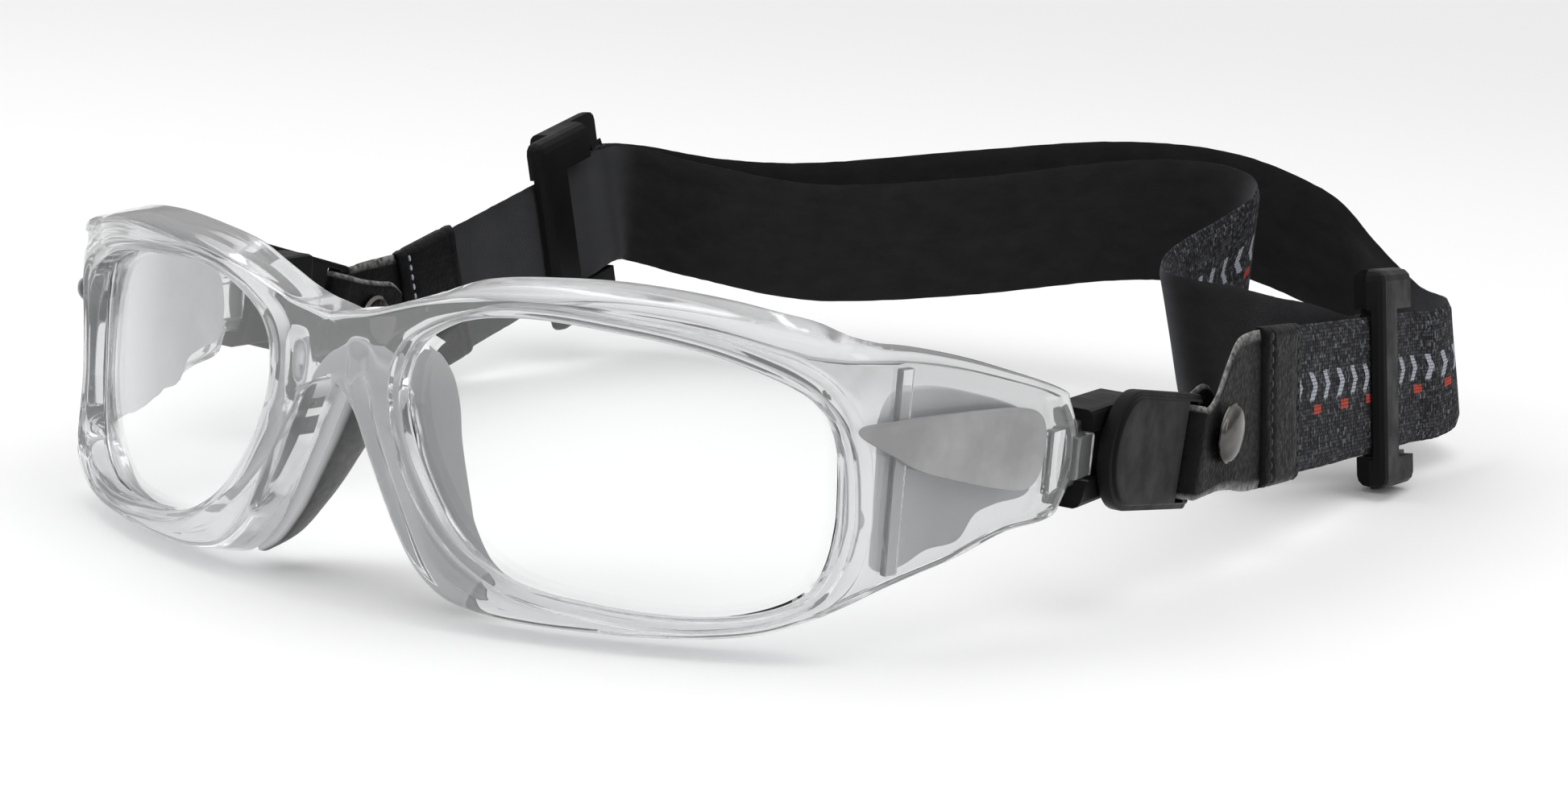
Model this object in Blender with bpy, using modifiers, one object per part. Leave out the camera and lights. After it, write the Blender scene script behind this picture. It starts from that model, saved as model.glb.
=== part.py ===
"""Sports protective goggles: clear one-piece frame, nose saddle, quick-release
strap clips, swivel links and a two-strap elastic head band with two sliders.

Millimetres in the constants, metres in the scene. +Z is up, the lenses face -Y,
X = 0 is the middle of the bridge. "left" and "right" are the wearer's sides, so
left is +X. The floor that the goggles rest on is Z = 0.
"""

import bmesh
import bpy
from math import atan2, cos, pi, radians, sin
from mathutils import Matrix, Vector

MM = 0.001
GAP = 0.3                     # clearance between pieces that touch

# frame
WRAP_R = 92.0                 # radius of the wrapped front, seen from above
FRONT_ARC = 62.0              # length of the front arc from the middle
CORNER_R = 13.0               # tighter radius at the temple corner
TEMPLE_ANGLE = 75.0           # heading of the temple, degrees from the X axis
EYE_Z = 21.0                  # height of the lens centre above the floor
RIM_DEPTH = 7.2               # front to back thickness of the rims
TEMPLE_DEPTH = 3.0            # thickness of the temple wings
LENS_T = 2.0
REBATE = 1.3                  # step behind the front lip that holds the lens
LIP_DEPTH = 3.3

# temple hardware
TONGUE_X = (67.6, 70.4)       # inner and outer face of the tongue
TONGUE_END = 70.0
CLIP_X = (66.1, 72.4)
CLIP_Y = (58.9, 80.5)
END_ARC = (54.1, 22.0, 9.7)   # rounded end of the temple: centre y, z and radius
PIVOT_Y = 74.0
PIVOT_Z = 20.8
PIN_R = 2.0
LINK_X = (72.7, 75.1)
LINK_H = 16.0
TILT_LEFT = 8.5               # the links hang this far below level at rest
TILT_RIGHT = 14.5
SLOT_Y = (91.2, 94.4)         # slot for the leather, before the tilt
LINK_END = 97.4
LEATHER_T = 0.9
LEATHER_LOOP_R = 2.25         # radius of the leather's centre line round the bar
RIVET_LEFT = (102.8, 19.7)    # y, z
RIVET_RIGHT = (102.8, 14.3)
RIVET_R = 4.3
BINDING_Y = (118.3, 133.0)

# straps
STRAP_X = 76.0
STRAP_W = 22.0
STRAP_T = 1.3
SLIDER_H = 34.0
SLIDER_L = 24.0
SLIDER_LEFT = (STRAP_X, 182.5, 17.1)
SLIDER_RIGHT = (-STRAP_X, 169.0, 24.4)
SLOPE_LEFT = -3.7             # slope of the strap through each slider, degrees
SLOPE_RIGHT = 14.0
LEAN_LEFT = -9.0              # roll of the straps about their length, degrees
LEAN_RIGHT = -4.0


# ---------------------------------------------------------------- scene helpers
for old in list(bpy.data.objects):
    bpy.data.objects.remove(old, do_unlink=True)

PARTS = bpy.data.collections.new("sports_goggles")
CUTTERS = bpy.data.collections.new("cutters")
bpy.context.scene.collection.children.link(PARTS)
bpy.context.scene.collection.children.link(CUTTERS)


def material(name, colour, rough, metal=0.0, alpha=1.0, transmission=0.0):
    mat = bpy.data.materials.new(name)
    mat.use_nodes = True
    shader = mat.node_tree.nodes["Principled BSDF"]
    shader.inputs["Base Color"].default_value = (*colour, 1.0)
    shader.inputs["Roughness"].default_value = rough
    shader.inputs["Metallic"].default_value = metal
    shader.inputs["Alpha"].default_value = alpha
    shader.inputs["Transmission Weight"].default_value = transmission
    return mat


CLEAR = material("clear_polycarbonate", (0.86, 0.88, 0.88), 0.08, 0.0, 1.0, 0.9)
LENS = material("lens_polycarbonate", (0.95, 0.97, 0.98), 0.02, 0.0, 1.0, 1.0)
SOFT_GREY = material("grey_silicone", (0.33, 0.34, 0.36), 0.55)
PALE_GREY = material("pale_silicone", (0.50, 0.51, 0.53), 0.5)
SATIN_GREY = material("satin_grey", (0.42, 0.42, 0.43), 0.4, 0.3)
BLACK = material("black_nylon", (0.022, 0.022, 0.023), 0.45)
LEATHER = material("black_leather", (0.02, 0.02, 0.021), 0.5)
ELASTIC = material("black_elastic", (0.016, 0.016, 0.018), 0.9)
NICKEL = material("gunmetal", (0.32, 0.31, 0.30), 0.25, 1.0)


def new_object(name, mesh, mat=None, cutter=False):
    obj = bpy.data.objects.new(name, mesh)
    if cutter:
        CUTTERS.objects.link(obj)
        obj.hide_render = True
        obj.display_type = "WIRE"
    else:
        PARTS.objects.link(obj)
        mesh.materials.append(mat)
    return obj


def mesh_of(bm, name, smooth=35.0):
    bmesh.ops.recalc_face_normals(bm, faces=bm.faces)
    mesh = bpy.data.meshes.new(name)
    bm.to_mesh(mesh)
    bm.free()
    if smooth:
        mesh.shade_smooth()
        mesh.set_sharp_from_angle(angle=radians(smooth))
    return mesh


def box(name, low, high, mat=None, cutter=False):
    """Axis-aligned box between two corners in millimetres."""
    low, high = Vector(low) * MM, Vector(high) * MM
    bm = bmesh.new()
    bmesh.ops.create_cube(bm, size=1.0)
    bmesh.ops.scale(bm, vec=high - low, verts=bm.verts)
    bmesh.ops.translate(bm, vec=(low + high) / 2, verts=bm.verts)
    return new_object(name, mesh_of(bm, name, 0), mat, cutter)


def disc(name, radius, low, high, centre, mat=None, cutter=False, sides=32):
    """Cylinder along X between two X values, centred at a (Y, Z)."""
    bm = bmesh.new()
    turn = Matrix.Rotation(radians(90), 4, "Y")
    bmesh.ops.create_cone(bm, cap_ends=True, segments=sides, radius1=radius * MM,
                          radius2=radius * MM, depth=(high - low) * MM, matrix=turn)
    move = Vector(((low + high) / 2, centre[0], centre[1])) * MM
    bmesh.ops.translate(bm, vec=move, verts=bm.verts)
    return new_object(name, mesh_of(bm, name), mat, cutter)


def boolean(obj, tool, operation):
    mod = obj.modifiers.new(operation.lower(), "BOOLEAN")
    mod.operation = operation
    mod.solver = "EXACT"
    mod.object = tool
    return mod


def bevel(obj, width, segments=2, angle=40):
    mod = obj.modifiers.new("edge", "BEVEL")
    mod.width = width * MM
    mod.segments = segments
    mod.limit_method = "ANGLE"
    mod.angle_limit = radians(angle)
    return mod


def bake(obj):
    """Replace an object's mesh by its evaluated mesh and drop the modifiers."""
    graph = bpy.context.evaluated_depsgraph_get()
    mesh = bpy.data.meshes.new_from_object(obj.evaluated_get(graph))
    obj.modifiers.clear()
    mesh.shade_smooth()
    mesh.set_sharp_from_angle(angle=radians(35))
    obj.data = mesh
    return obj


def weld(obj, others):
    """Union other solids into obj and keep the result as one mesh."""
    for other in others:
        boolean(obj, other, "UNION")
    bake(obj)
    for other in others:
        bpy.data.objects.remove(other, do_unlink=True)
    return obj


def cut(obj, tools):
    for tool in tools:
        boolean(obj, tool, "DIFFERENCE")
    bake(obj)
    return obj


def mirrored(obj, name, mat):
    """Copy of a left piece for the right side, reflected in X = 0."""
    mesh = obj.data.copy()
    mesh.transform(Matrix.Scale(-1, 4, (1, 0, 0)))
    mesh.flip_normals()
    mesh.name = name
    mesh.materials.clear()
    copy = new_object(name, mesh, mat)
    return copy


def spline(points, steps, closed=False):
    """Catmull-Rom curve through points of any dimension."""
    pts = [Vector(p) for p in points]
    count = len(pts)
    result = []
    spans = count if closed else count - 1
    for i in range(spans):
        if closed:
            a, b, c, d = (pts[(i + k - 1) % count] for k in range(4))
        else:
            a, b, c, d = (pts[min(max(i + k - 1, 0), count - 1)] for k in range(4))
        for k in range(steps):
            t = k / steps
            result.append(0.5 * (2 * b + (c - a) * t + (2 * a - 5 * b + 4 * c - d) * t * t
                                 + (3 * b - a - 3 * c + d) * t ** 3))
    if not closed:
        result.append(pts[-1])
    return result


# ------------------------------------------------------------ frame coordinates
CORNER_START = FRONT_ARC / WRAP_R
CORNER_END = radians(TEMPLE_ANGLE)
CORNER_LEN = CORNER_R * (CORNER_END - CORNER_START)


def wrap(s, depth, z):
    """Point at arc length s from the middle, depth behind the outer surface."""
    a = abs(s)
    if a <= FRONT_ARC:
        turn = a / WRAP_R
        x, y = WRAP_R * sin(turn), WRAP_R * (1 - cos(turn))
    else:
        x = WRAP_R * sin(CORNER_START)
        y = WRAP_R * (1 - cos(CORNER_START))
        turn = min(CORNER_START + (a - FRONT_ARC) / CORNER_R, CORNER_END)
        x += CORNER_R * (sin(turn) - sin(CORNER_START))
        y += CORNER_R * (cos(CORNER_START) - cos(turn))
        rest = max(a - FRONT_ARC - CORNER_LEN, 0.0)
        x += rest * cos(turn)
        y += rest * sin(turn)
    x -= depth * sin(turn)
    y += depth * cos(turn)
    return Vector((x if s >= 0 else -x, y, z + EYE_Z)) * MM


def frame_depth(s):
    """Thickness of the clear frame at arc length s."""
    t = min(max((abs(s) - 58.0) / 15.0, 0.0), 1.0)
    t = t * t * (3 - 2 * t)
    return RIM_DEPTH + (TEMPLE_DEPTH - RIM_DEPTH) * t


# One row per station round the left eye: lens opening (s, z), outer edge (s, z).
# It starts on the bridge, runs along the brow, round the temple wing, back
# under the eye and up the side of the nose.
STATIONS = [
    ((10.6, 2.2), (-2.5, 8.6)), ((10.1, 5.6), (-2.5, 11.2)), ((10.4, 9.2), (-2.4, 13.7)),
    ((11.6, 11.8), (0.8, 14.7)), ((13.8, 13.8), (5.5, 15.6)), ((17.4, 15.6), (12.0, 17.7)),
    ((22.0, 16.7), (20.0, 19.6)), ((28.5, 17.0), (28.0, 20.4)), ((35.5, 16.5), (35.5, 20.7)),
    ((42.0, 15.8), (42.5, 20.4)), ((48.5, 14.6), (50.0, 19.6)), ((54.5, 12.8), (57.0, 18.4)),
    ((59.0, 10.9), (64.8, 17.3)), ((61.4, 9.0), (73.0, 16.6)), ((62.9, 7.4), (82.4, 14.9)),
    ((63.9, 5.8), (92.4, 12.5)), ((64.5, 4.4), (103.7, 9.3)), ((64.9, 3.0), (105.9, 7.4)),
    ((65.3, 0.6), (108.5, 1.0)), ((65.6, -2.4), (105.9, -5.4)), ((65.7, -4.6), (103.5, -7.5)),
    ((65.4, -6.6), (95.2, -8.2)), ((65.0, -8.4), (86.4, -10.4)), ((64.0, -10.6), (77.0, -12.0)),
    ((62.0, -13.2), (70.3, -13.3)), ((58.6, -15.2), (63.2, -16.0)), ((53.5, -16.5), (56.5, -18.3)),
    ((47.5, -17.0), (49.0, -19.2)), ((41.0, -16.9), (41.5, -19.5)), ((35.0, -16.4), (34.5, -19.5)),
    ((29.8, -15.8), (28.0, -19.4)), ((25.0, -14.6), (22.5, -19.0)), ((20.6, -12.3), (17.4, -17.7)),
    ((17.4, -9.7), (13.6, -14.9)), ((15.2, -7.0), (10.8, -11.0)), ((13.3, -4.0), (8.3, -6.4)),
    ((12.0, -1.6), (5.8, -1.2)), ((11.2, 0.4), (2.6, 5.2)),
]
MID_ROWS = 5


def frame_flare(s):
    """How far the rear edge of a rim stands out past its front edge."""
    near = min(max((abs(s) - 9.0) / 9.0, 0.0), 1.0)
    far = min(max((70.0 - abs(s)) / 10.0, 0.0), 1.0)
    return 1.1 * near * far


def frame_section(eye, edge):
    """Closed cross-section from the lens opening out to the frame's edge."""
    span = (edge - eye).length
    out = (edge - eye) / span

    def at(run, depth, from_edge=False):
        p = eye + out * (span - run if from_edge else run)
        return p, depth

    rows = [at(0.0, 1.3), at(0.45, 0.75), at(1.0, 0.7), at(1.3, 0.0)]
    inner, outer = 1.3, span - 1.1
    for k in range(1, MID_ROWS):
        t = (k / MID_ROWS) ** 1.4
        rows.append(at(inner + (outer - inner) * t, 0.0))
    rows += [at(1.1, 0.0, True), at(0.3, 0.35, True), at(0.0, 1.1, True)]
    flare = frame_flare(edge.x)
    back = [at(-flare, -1.0, True), at(0.3 - flare, -0.3, True), at(1.1 - flare, 0.0, True)]
    for k in range(MID_ROWS - 1, 0, -1):
        t = (k / MID_ROWS) ** 1.4
        back.append(at(REBATE + (outer - REBATE) * t, 0.0))
    back.append(at(REBATE, 0.0))
    points = [wrap(p.x, d, p.y) for p, d in rows]
    for p, d in back:
        points.append(wrap(p.x, frame_depth(p.x) + d, p.y))
    lip = eye + out * REBATE
    points.append(wrap(lip.x, min(LIP_DEPTH, frame_depth(lip.x) - 0.8), lip.y))
    points.append(wrap(eye.x, min(LIP_DEPTH, frame_depth(lip.x) - 0.8), eye.y))
    return points


def frame_half(name):
    eyes = spline([p for p, _ in STATIONS], 2, closed=True)
    edges = spline([q for _, q in STATIONS], 2, closed=True)
    bm = bmesh.new()
    loops = []
    for eye, edge in zip(eyes, edges):
        loops.append([bm.verts.new(p) for p in frame_section(eye, edge)])
    count = len(loops[0])
    for i, loop in enumerate(loops):
        following = loops[(i + 1) % len(loops)]
        for k in range(count):
            n = (k + 1) % count
            bm.faces.new((loop[k], loop[n], following[n], following[k]))
    return new_object(name, mesh_of(bm, name, 50), CLEAR)


frame = frame_half("front_frame")
other = mirrored(frame, "frame_other_half", CLEAR)
weld(frame, [other])

# the tongue that the quick-release clip slides over, with its catch
for side in (1, -1):
    across = sorted((side * TONGUE_X[0], side * TONGUE_X[1]))
    tongue = box("tongue", (across[0], 56.5, EYE_Z - 4.2),
                 (across[1], TONGUE_END, EYE_Z + 4.2), CLEAR)
    across = sorted((side * (TONGUE_X[1] - 0.6), side * (TONGUE_X[1] + 1.5)))
    catch = box("catch", (across[0], 61.5, EYE_Z - 2.8), (across[1], 66.8, EYE_Z + 2.8), CLEAR)
    weld(frame, [tongue, catch])


# ------------------------------------------------------------------------ lenses
def lens(name):
    """Curved pane that sits in the rebate behind the front lip."""
    eyes = spline([p for p, _ in STATIONS], 1, closed=True)
    edges = spline([q for _, q in STATIONS], 1, closed=True)
    rim = []
    for eye, edge in zip(eyes, edges):
        rim.append(eye + (edge - eye).normalized() * (REBATE - GAP))
    middle = sum((p for p in rim), Vector((0, 0))) / len(rim)
    bm = bmesh.new()
    rings = []
    for face in (LIP_DEPTH + GAP, LIP_DEPTH + GAP + LENS_T):
        for share in (1.0, 0.7, 0.35):
            ring = [middle + (p - middle) * share for p in rim]
            rings.append([bm.verts.new(wrap(p.x, face, p.y)) for p in ring])
        rings.append([bm.verts.new(wrap(middle.x, face, middle.y))])
    order = [rings[3], rings[2], rings[1], rings[0], rings[4], rings[5], rings[6], rings[7]]
    count = len(rim)
    for a, b in zip(order, order[1:]):
        for k in range(count):
            n = (k + 1) % count
            if len(a) == 1:
                bm.faces.new((a[0], b[k], b[n]))
            elif len(b) == 1:
                bm.faces.new((a[k], b[0], a[n]))
            else:
                bm.faces.new((a[k], b[k], b[n], a[n]))
    return new_object(name, mesh_of(bm, name), LENS)


lens_left = lens("lens_left")
mirrored(lens_left, "lens_right", LENS)


# --------------------------------------------------------- soft and trim pieces
def slab(name, outline, front, back, mat, steps=3, columns=2):
    """Plate that follows the frame's curve: outline in (s, z), with the depth of
    its front and back faces given as functions of s."""
    edge = spline(outline, steps, closed=True)
    middle = sum((p for p in edge), Vector((0, 0))) / len(edge)
    bm = bmesh.new()
    shares = [k / columns for k in range(columns, 0, -1)]
    order = []
    for depth, values in ((front, shares[::-1]), (back, shares)):
        for share in values:
            ring = [middle + (p - middle) * share for p in edge]
            order.append([bm.verts.new(wrap(p.x, depth(p.x), p.y)) for p in ring])
    top = bm.verts.new(wrap(middle.x, front(middle.x), middle.y))
    bottom = bm.verts.new(wrap(middle.x, back(middle.x), middle.y))
    count = len(edge)
    for k in range(count):
        n = (k + 1) % count
        bm.faces.new((top, order[0][k], order[0][n]))
        bm.faces.new((bottom, order[-1][n], order[-1][k]))
        for a, b in zip(order, order[1:]):
            bm.faces.new((a[k], b[k], b[n], a[n]))
    return new_object(name, mesh_of(bm, name), mat)


INSERT = [(65.8, 7.5), (68.5, 8.0), (76.3, 8.2), (87.0, 8.1), (94.0, 7.8), (97.0, 6.9),
          (98.4, 4.8), (98.5, 1.5), (97.8, -1.0), (96.1, -2.4), (93.6, -2.5), (90.0, -1.9),
          (84.4, -0.7), (75.6, 1.6), (70.8, 3.8), (66.2, 6.2)]
trim = slab("trim_insert_left", INSERT, lambda s: -GAP - 1.3, lambda s: -GAP - 0.2, SATIN_GREY, 2, 4)
mirrored(trim, "trim_insert_right", SATIN_GREY)

PAD = [(72.4, 9.0), (78.4, 11.0), (88.4, 9.5), (98.0, 6.5), (100.9, 2.0), (100.5, -4.0),
       (94.2, -5.0), (90.2, -6.0), (87.2, -9.0), (81.4, -9.5), (76.8, -11.0), (72.4, -10.6),
       (71.4, -3.0)]
pad = slab("temple_pad_left", PAD, lambda s: frame_depth(s) + GAP,
           lambda s: frame_depth(s) + GAP + 1.6, PALE_GREY, 2, 3)
mirrored(pad, "temple_pad_right", PALE_GREY)


def nose_pad():
    """Saddle behind the bridge: a wall over the arch that runs rearwards."""
    half = [(18.5, -18.4), (15.0, -16.3), (11.8, -12.6), (10.1, -9.9), (8.2, -6.3),
            (6.3, -2.6), (4.7, 1.0), (3.1, 4.2), (1.4, 6.2)]
    arch = [(-s, z) for s, z in half] + [(0.0, 6.8)] + half[::-1]
    bm = bmesh.new()
    rows = []
    points = [Vector(p) for p in arch]
    for i, p in enumerate(points):
        ahead = points[min(i + 1, len(points) - 1)]
        behind = points[max(i - 1, 0)]
        along = (ahead - behind).normalized()
        out = Vector((-along.y, along.x))
        rank = min(i, len(points) - 1 - i)
        reach = min(1.0, 0.45 + 0.06 * rank + 0.004 * rank ** 2)
        section = []
        for shift, run in ((-1.0, 0.0), (-1.3, 5.0), (-0.9, 9.5), (-0.1, 13.2), (0.9, 14.0),
                           (1.7, 12.6), (2.5, 7.0), (3.3, 0.0)):
            q = p + out * shift
            base = wrap(q.x, RIM_DEPTH + GAP, q.y)
            section.append(Vector((base.x, base.y + run * reach * MM, max(base.z, 0.0012))))
        rows.append([bm.verts.new(v) for v in section])
    count = len(rows[0])
    for a, b in zip(rows, rows[1:]):
        for k in range(count):
            n = (k + 1) % count
            bm.faces.new((a[k], b[k], b[n], a[n]))
    bm.faces.new(rows[0])
    bm.faces.new(rows[-1])
    return new_object("nose_pad", mesh_of(bm, "nose_pad"), SOFT_GREY)


nose_pad()


# ------------------------------------------------------------------ strap clips
def drop(*tools):
    for tool in tools:
        bpy.data.objects.remove(tool, do_unlink=True)


def clip(name):
    """Sleeve over the frame's tongue; a notch in its outer wall shows the catch."""
    body = box(name, (CLIP_X[0], CLIP_Y[0], EYE_Z - 6.5), (CLIP_X[1], CLIP_Y[1], EYE_Z + 6.2),
               BLACK)
    bevel(body, 0.7)
    bake(body)
    pocket = box("pocket", (TONGUE_X[0] - GAP, 50.0, EYE_Z - 4.5),
                 (TONGUE_X[1] + GAP, TONGUE_END + GAP, EYE_Z + 4.5), cutter=True)
    notch = box("notch", (TONGUE_X[1], 50.0, EYE_Z - 3.2), (80.0, 70.1, EYE_Z + 3.2),
                cutter=True)
    arc = disc("arc", END_ARC[2] + 1.2, 50.0, 90.0, END_ARC[:2], cutter=True, sides=64)
    bore = disc("bore", PIN_R + GAP, 60.0, 80.0, (PIVOT_Y, PIVOT_Z), cutter=True, sides=24)
    cut(body, [pocket, notch, bore, arc])
    drop(pocket, notch, bore, arc)
    return body


clip_left = clip("strap_clip_left")
mirrored(clip_left, "strap_clip_right", BLACK)


# ------------------------------------------------------- swivel links and pins
def tilted(obj, angle):
    """Turn a link's mesh down about its pin to the angle it hangs at."""
    pivot = Vector((0.0, PIVOT_Y, PIVOT_Z)) * MM
    turn = (Matrix.Translation(pivot) @ Matrix.Rotation(radians(-angle), 4, "X")
            @ Matrix.Translation(-pivot))
    obj.data.transform(turn)
    return obj


def to_right(obj, mat):
    """Reflect a piece made on the left side onto the right side."""
    name = obj.name
    obj.name = name + "_mould"
    mirrored(obj, name, mat)
    drop(obj)


def link(name, angle):
    """Round-nosed plate with a rear slot for the leather and a blind pin hole."""
    nose = disc(name, LINK_H / 2, LINK_X[0], LINK_X[1], (PIVOT_Y, PIVOT_Z), BLACK, sides=40)
    plate = box("plate", (LINK_X[0], PIVOT_Y, PIVOT_Z - LINK_H / 2),
                (LINK_X[1], LINK_END, PIVOT_Z + LINK_H / 2), BLACK)
    weld(nose, [plate])
    bevel(nose, 0.5, 2)
    bake(nose)
    slot = box("slot", (60.0, SLOT_Y[0], PIVOT_Z - 7.0), (90.0, SLOT_Y[1], PIVOT_Z + 7.0),
               cutter=True)
    hole = disc("hole", PIN_R + GAP, 60.0, LINK_X[1] - 0.8, (PIVOT_Y, PIVOT_Z), cutter=True,
                sides=24)
    cut(nose, [slot, hole])
    drop(slot, hole)
    return tilted(nose, angle)


link("swivel_link_left", TILT_LEFT)
to_right(link("swivel_link_right", TILT_RIGHT), BLACK)


def pin(name):
    """Headed pin from the inside of the clip into the link."""
    shaft = disc(name, PIN_R, CLIP_X[0] - 1.2, LINK_X[1] - 1.1, (PIVOT_Y, PIVOT_Z), BLACK,
                 sides=24)
    head = disc("head", 3.4, CLIP_X[0] - 1.4, CLIP_X[0] - GAP, (PIVOT_Y, PIVOT_Z), BLACK,
                sides=24)
    weld(shaft, [head])
    return shaft


pin_left = pin("swivel_pin_left")
mirrored(pin_left, "swivel_pin_right", BLACK)


# --------------------------------------------------------- bands of flat webbing
def band(name, stations, thick, mat, steps=4, round_from=None):
    """Flat band on edge. Each station is x, y, z of its middle, its height and how
    far its top leans along X and along Y for each unit of rise."""
    line = spline(stations, steps)
    bm = bmesh.new()
    pairs = []
    for p in line:
        up = Vector((p[4], p[5], 1.0)).normalized()
        middle = Vector((p[0], p[1], p[2]))
        pairs.append((bm.verts.new((middle + up * p[3] / 2) * MM),
                      bm.verts.new((middle - up * p[3] / 2) * MM)))
    for a, b in zip(pairs, pairs[1:]):
        bm.faces.new((a[0], a[1], b[1], b[0]))
    obj = new_object(name, mesh_of(bm, name, 60), mat)
    mod = obj.modifiers.new("thickness", "SOLIDIFY")
    mod.thickness = thick * MM
    mod.offset = 0.0
    mod.use_even_offset = True
    return bake(obj)


def loop_centre(angle):
    """Middle of a link's rear bar, as the leather turns round it."""
    run = SLOT_Y[1] + 1.2 - PIVOT_Y
    a = radians(angle)
    return sum(LINK_X) / 2, PIVOT_Y + run * cos(a), PIVOT_Z - run * sin(a)


def leather_tab(name, angle, wide, rivet, lean, slope):
    """Leather doubled round the link's rear bar. One edge runs straight and the
    other flares to the strap's width; wide lists y, z and height from the rear."""
    x, y, z = loop_centre(angle)
    tilt = radians(angle)
    r = LEATHER_LOOP_R
    outer = []
    for k, (at_y, at_z, height) in enumerate(wide):
        share = 1.0 - k / len(wide)
        rake = tilt * (1.0 - share) - radians(slope) * share
        outer.append((x + r, at_y, at_z, height, lean * share, rake))
    turn = []
    for k in range(7):
        a = pi * k / 6
        ahead = r * sin(a)
        turn.append((x + r * cos(a), y - ahead * cos(tilt), z + ahead * sin(tilt), 13.0, 0.0,
                     tilt))
    drop_z = rivet[1] - z
    inner = [(x - r, 99.5, z + drop_z * 0.5, 11.8, 0.0, tilt * 0.6),
             (x - r, 104.5, z + drop_z, 11.4, 0.0, 0.0),
             (x - r, 108.0, z + drop_z, 10.4, 0.0, 0.0),
             (x - r, 110.5, z + drop_z, 7.0, 0.0, 0.0)]
    tab = band(name, outer + turn + inner, LEATHER_T, LEATHER, 2)
    hole = disc("hole", 1.5 + GAP, 60.0, 90.0, rivet, cutter=True, sides=16)
    cut(tab, [hole])
    drop(hole)
    return tab


WIDE_LEFT = [(118.0, 20.9, 23.0), (112.0, 21.2, 22.6), (107.0, 21.5, 21.2),
             (103.5, 20.7, 18.8), (101.0, 19.4, 16.2), (98.8, 18.4, 14.4)]
WIDE_RIGHT = [(118.2, 11.9, 22.8), (112.0, 11.6, 22.4), (107.0, 11.9, 21.0),
              (103.5, 12.7, 18.6), (101.0, 13.9, 16.2), (98.8, 14.7, 14.4)]


def dome(name, radius, rise, x0, facing, centre, mat):
    """Shallow dome on the X axis, base at x0, standing out along facing."""
    profile = [(radius, 0.0), (radius, 0.35), (radius * 0.86, rise * 0.7),
               (radius * 0.5, rise * 0.95)]
    bm = bmesh.new()
    sides = 28
    rings = []
    for run, height in profile:
        ring = []
        for k in range(sides):
            a = 2 * pi * k / sides
            ring.append(bm.verts.new(Vector((x0 + facing * height,
                                             centre[0] + run * cos(a),
                                             centre[1] + run * sin(a))) * MM))
        rings.append(ring)
    for a, b in zip(rings, rings[1:]):
        for k in range(sides):
            n = (k + 1) % sides
            bm.faces.new((a[k], a[n], b[n], b[k]))
    bm.faces.new(rings[0])
    bm.faces.new(rings[-1])
    return new_object(name, mesh_of(bm, name), mat)


def binding(name, slope, lean, middle):
    """Leather edging that holds the tab and the strap's end."""
    length = BINDING_Y[1] - BINDING_Y[0]
    edging = box(name, (-1.7, -length / 2, -11.6), (1.7, length / 2, 11.6), LEATHER)
    bevel(edging, 0.8)
    bake(edging)
    place = Vector((STRAP_X, sum(BINDING_Y) / 2, middle)) * MM
    edging.data.transform(Matrix.Translation(place) @ Matrix.Rotation(radians(slope), 4, "X")
                          @ Matrix.Rotation(radians(lean), 4, "Y"))
    return edging


def tab_pieces(side, angle, wide, rivet, lean, slope, middle):
    """Leather tab, its two rivet halves and its edging, on the left side."""
    centre_x = sum(LINK_X) / 2
    outside = centre_x + LEATHER_LOOP_R + LEATHER_T / 2 + GAP
    inside = centre_x - LEATHER_LOOP_R - LEATHER_T / 2 - GAP
    tab = leather_tab("leather_tab_" + side, angle, wide, rivet, radians(lean), slope)
    cap = dome("rivet_cap_" + side, RIVET_R, 1.5, outside + 0.5, 1.0, rivet, NICKEL)
    shank = disc("shank", 1.5, inside + 0.4, outside + 0.8, rivet, NICKEL, sides=16)
    weld(cap, [shank])
    back = dome("rivet_back_" + side, RIVET_R * 0.85, 1.1, inside, -1.0, rivet, NICKEL)
    edging = binding("leather_binding_" + side, slope, lean, middle)
    return [(tab, LEATHER), (cap, NICKEL), (back, NICKEL), (edging, LEATHER)]


tab_pieces("left", TILT_LEFT, WIDE_LEFT, RIVET_LEFT, LEAN_LEFT * 0.8, SLOPE_LEFT, 20.6)
for piece, mat in tab_pieces("right", TILT_RIGHT, WIDE_RIGHT, RIVET_RIGHT, -LEAN_RIGHT,
                             SLOPE_RIGHT, 13.7):
    to_right(piece, mat)


# ----------------------------------------------------------------------- sliders
def slider(name, place, slope, lean):
    """Three-bar buckle. The front bar stands outside the strap's path and the
    middle and rear bars stand inside it."""
    half = SLIDER_H / 2
    inner = half - 4.9
    body = box(name, (-3.9, -SLIDER_L / 2, -half), (2.9, SLIDER_L / 2, half + 1.6), BLACK)
    bevel(body, 1.9, 3)
    bake(body)
    window = box("window", (-20.0, -SLIDER_L / 2 + 8.0, -inner), (20.0, SLIDER_L / 2 - 2.6, inner),
                 cutter=True)
    front = box("front", (-20.0, -20.0, -inner), (1.0, 0.0, inner), cutter=True)
    rear = box("rear", (-2.2, 0.0, -inner), (20.0, 20.0, inner), cutter=True)
    inside = box("inside", (-20.0, -20.0, -20.0), (0.2, -SLIDER_L / 2 + 7.0, 20.0), cutter=True)
    outside = box("outside", (-0.9, SLIDER_L / 2 - 8.0, -20.0), (20.0, 20.0, 20.0), cutter=True)
    cut(body, [window, front, rear, inside, outside])
    drop(window, front, rear, inside, outside)
    middle = box("middle", (-3.9, -1.3, -inner - 0.5), (-2.2, 1.3, inner + 0.5), BLACK)
    weld(body, [middle])
    matrix = (Matrix.Translation(Vector(place) * MM)
              @ Matrix.Rotation(radians(slope), 4, "X")
              @ Matrix.Rotation(radians(lean), 4, "Y"))
    body.data.transform(matrix)
    return body


slider("strap_slider_left", SLIDER_LEFT, SLOPE_LEFT, LEAN_LEFT)
slider("strap_slider_right", SLIDER_RIGHT, SLOPE_RIGHT, LEAN_RIGHT)


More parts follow.
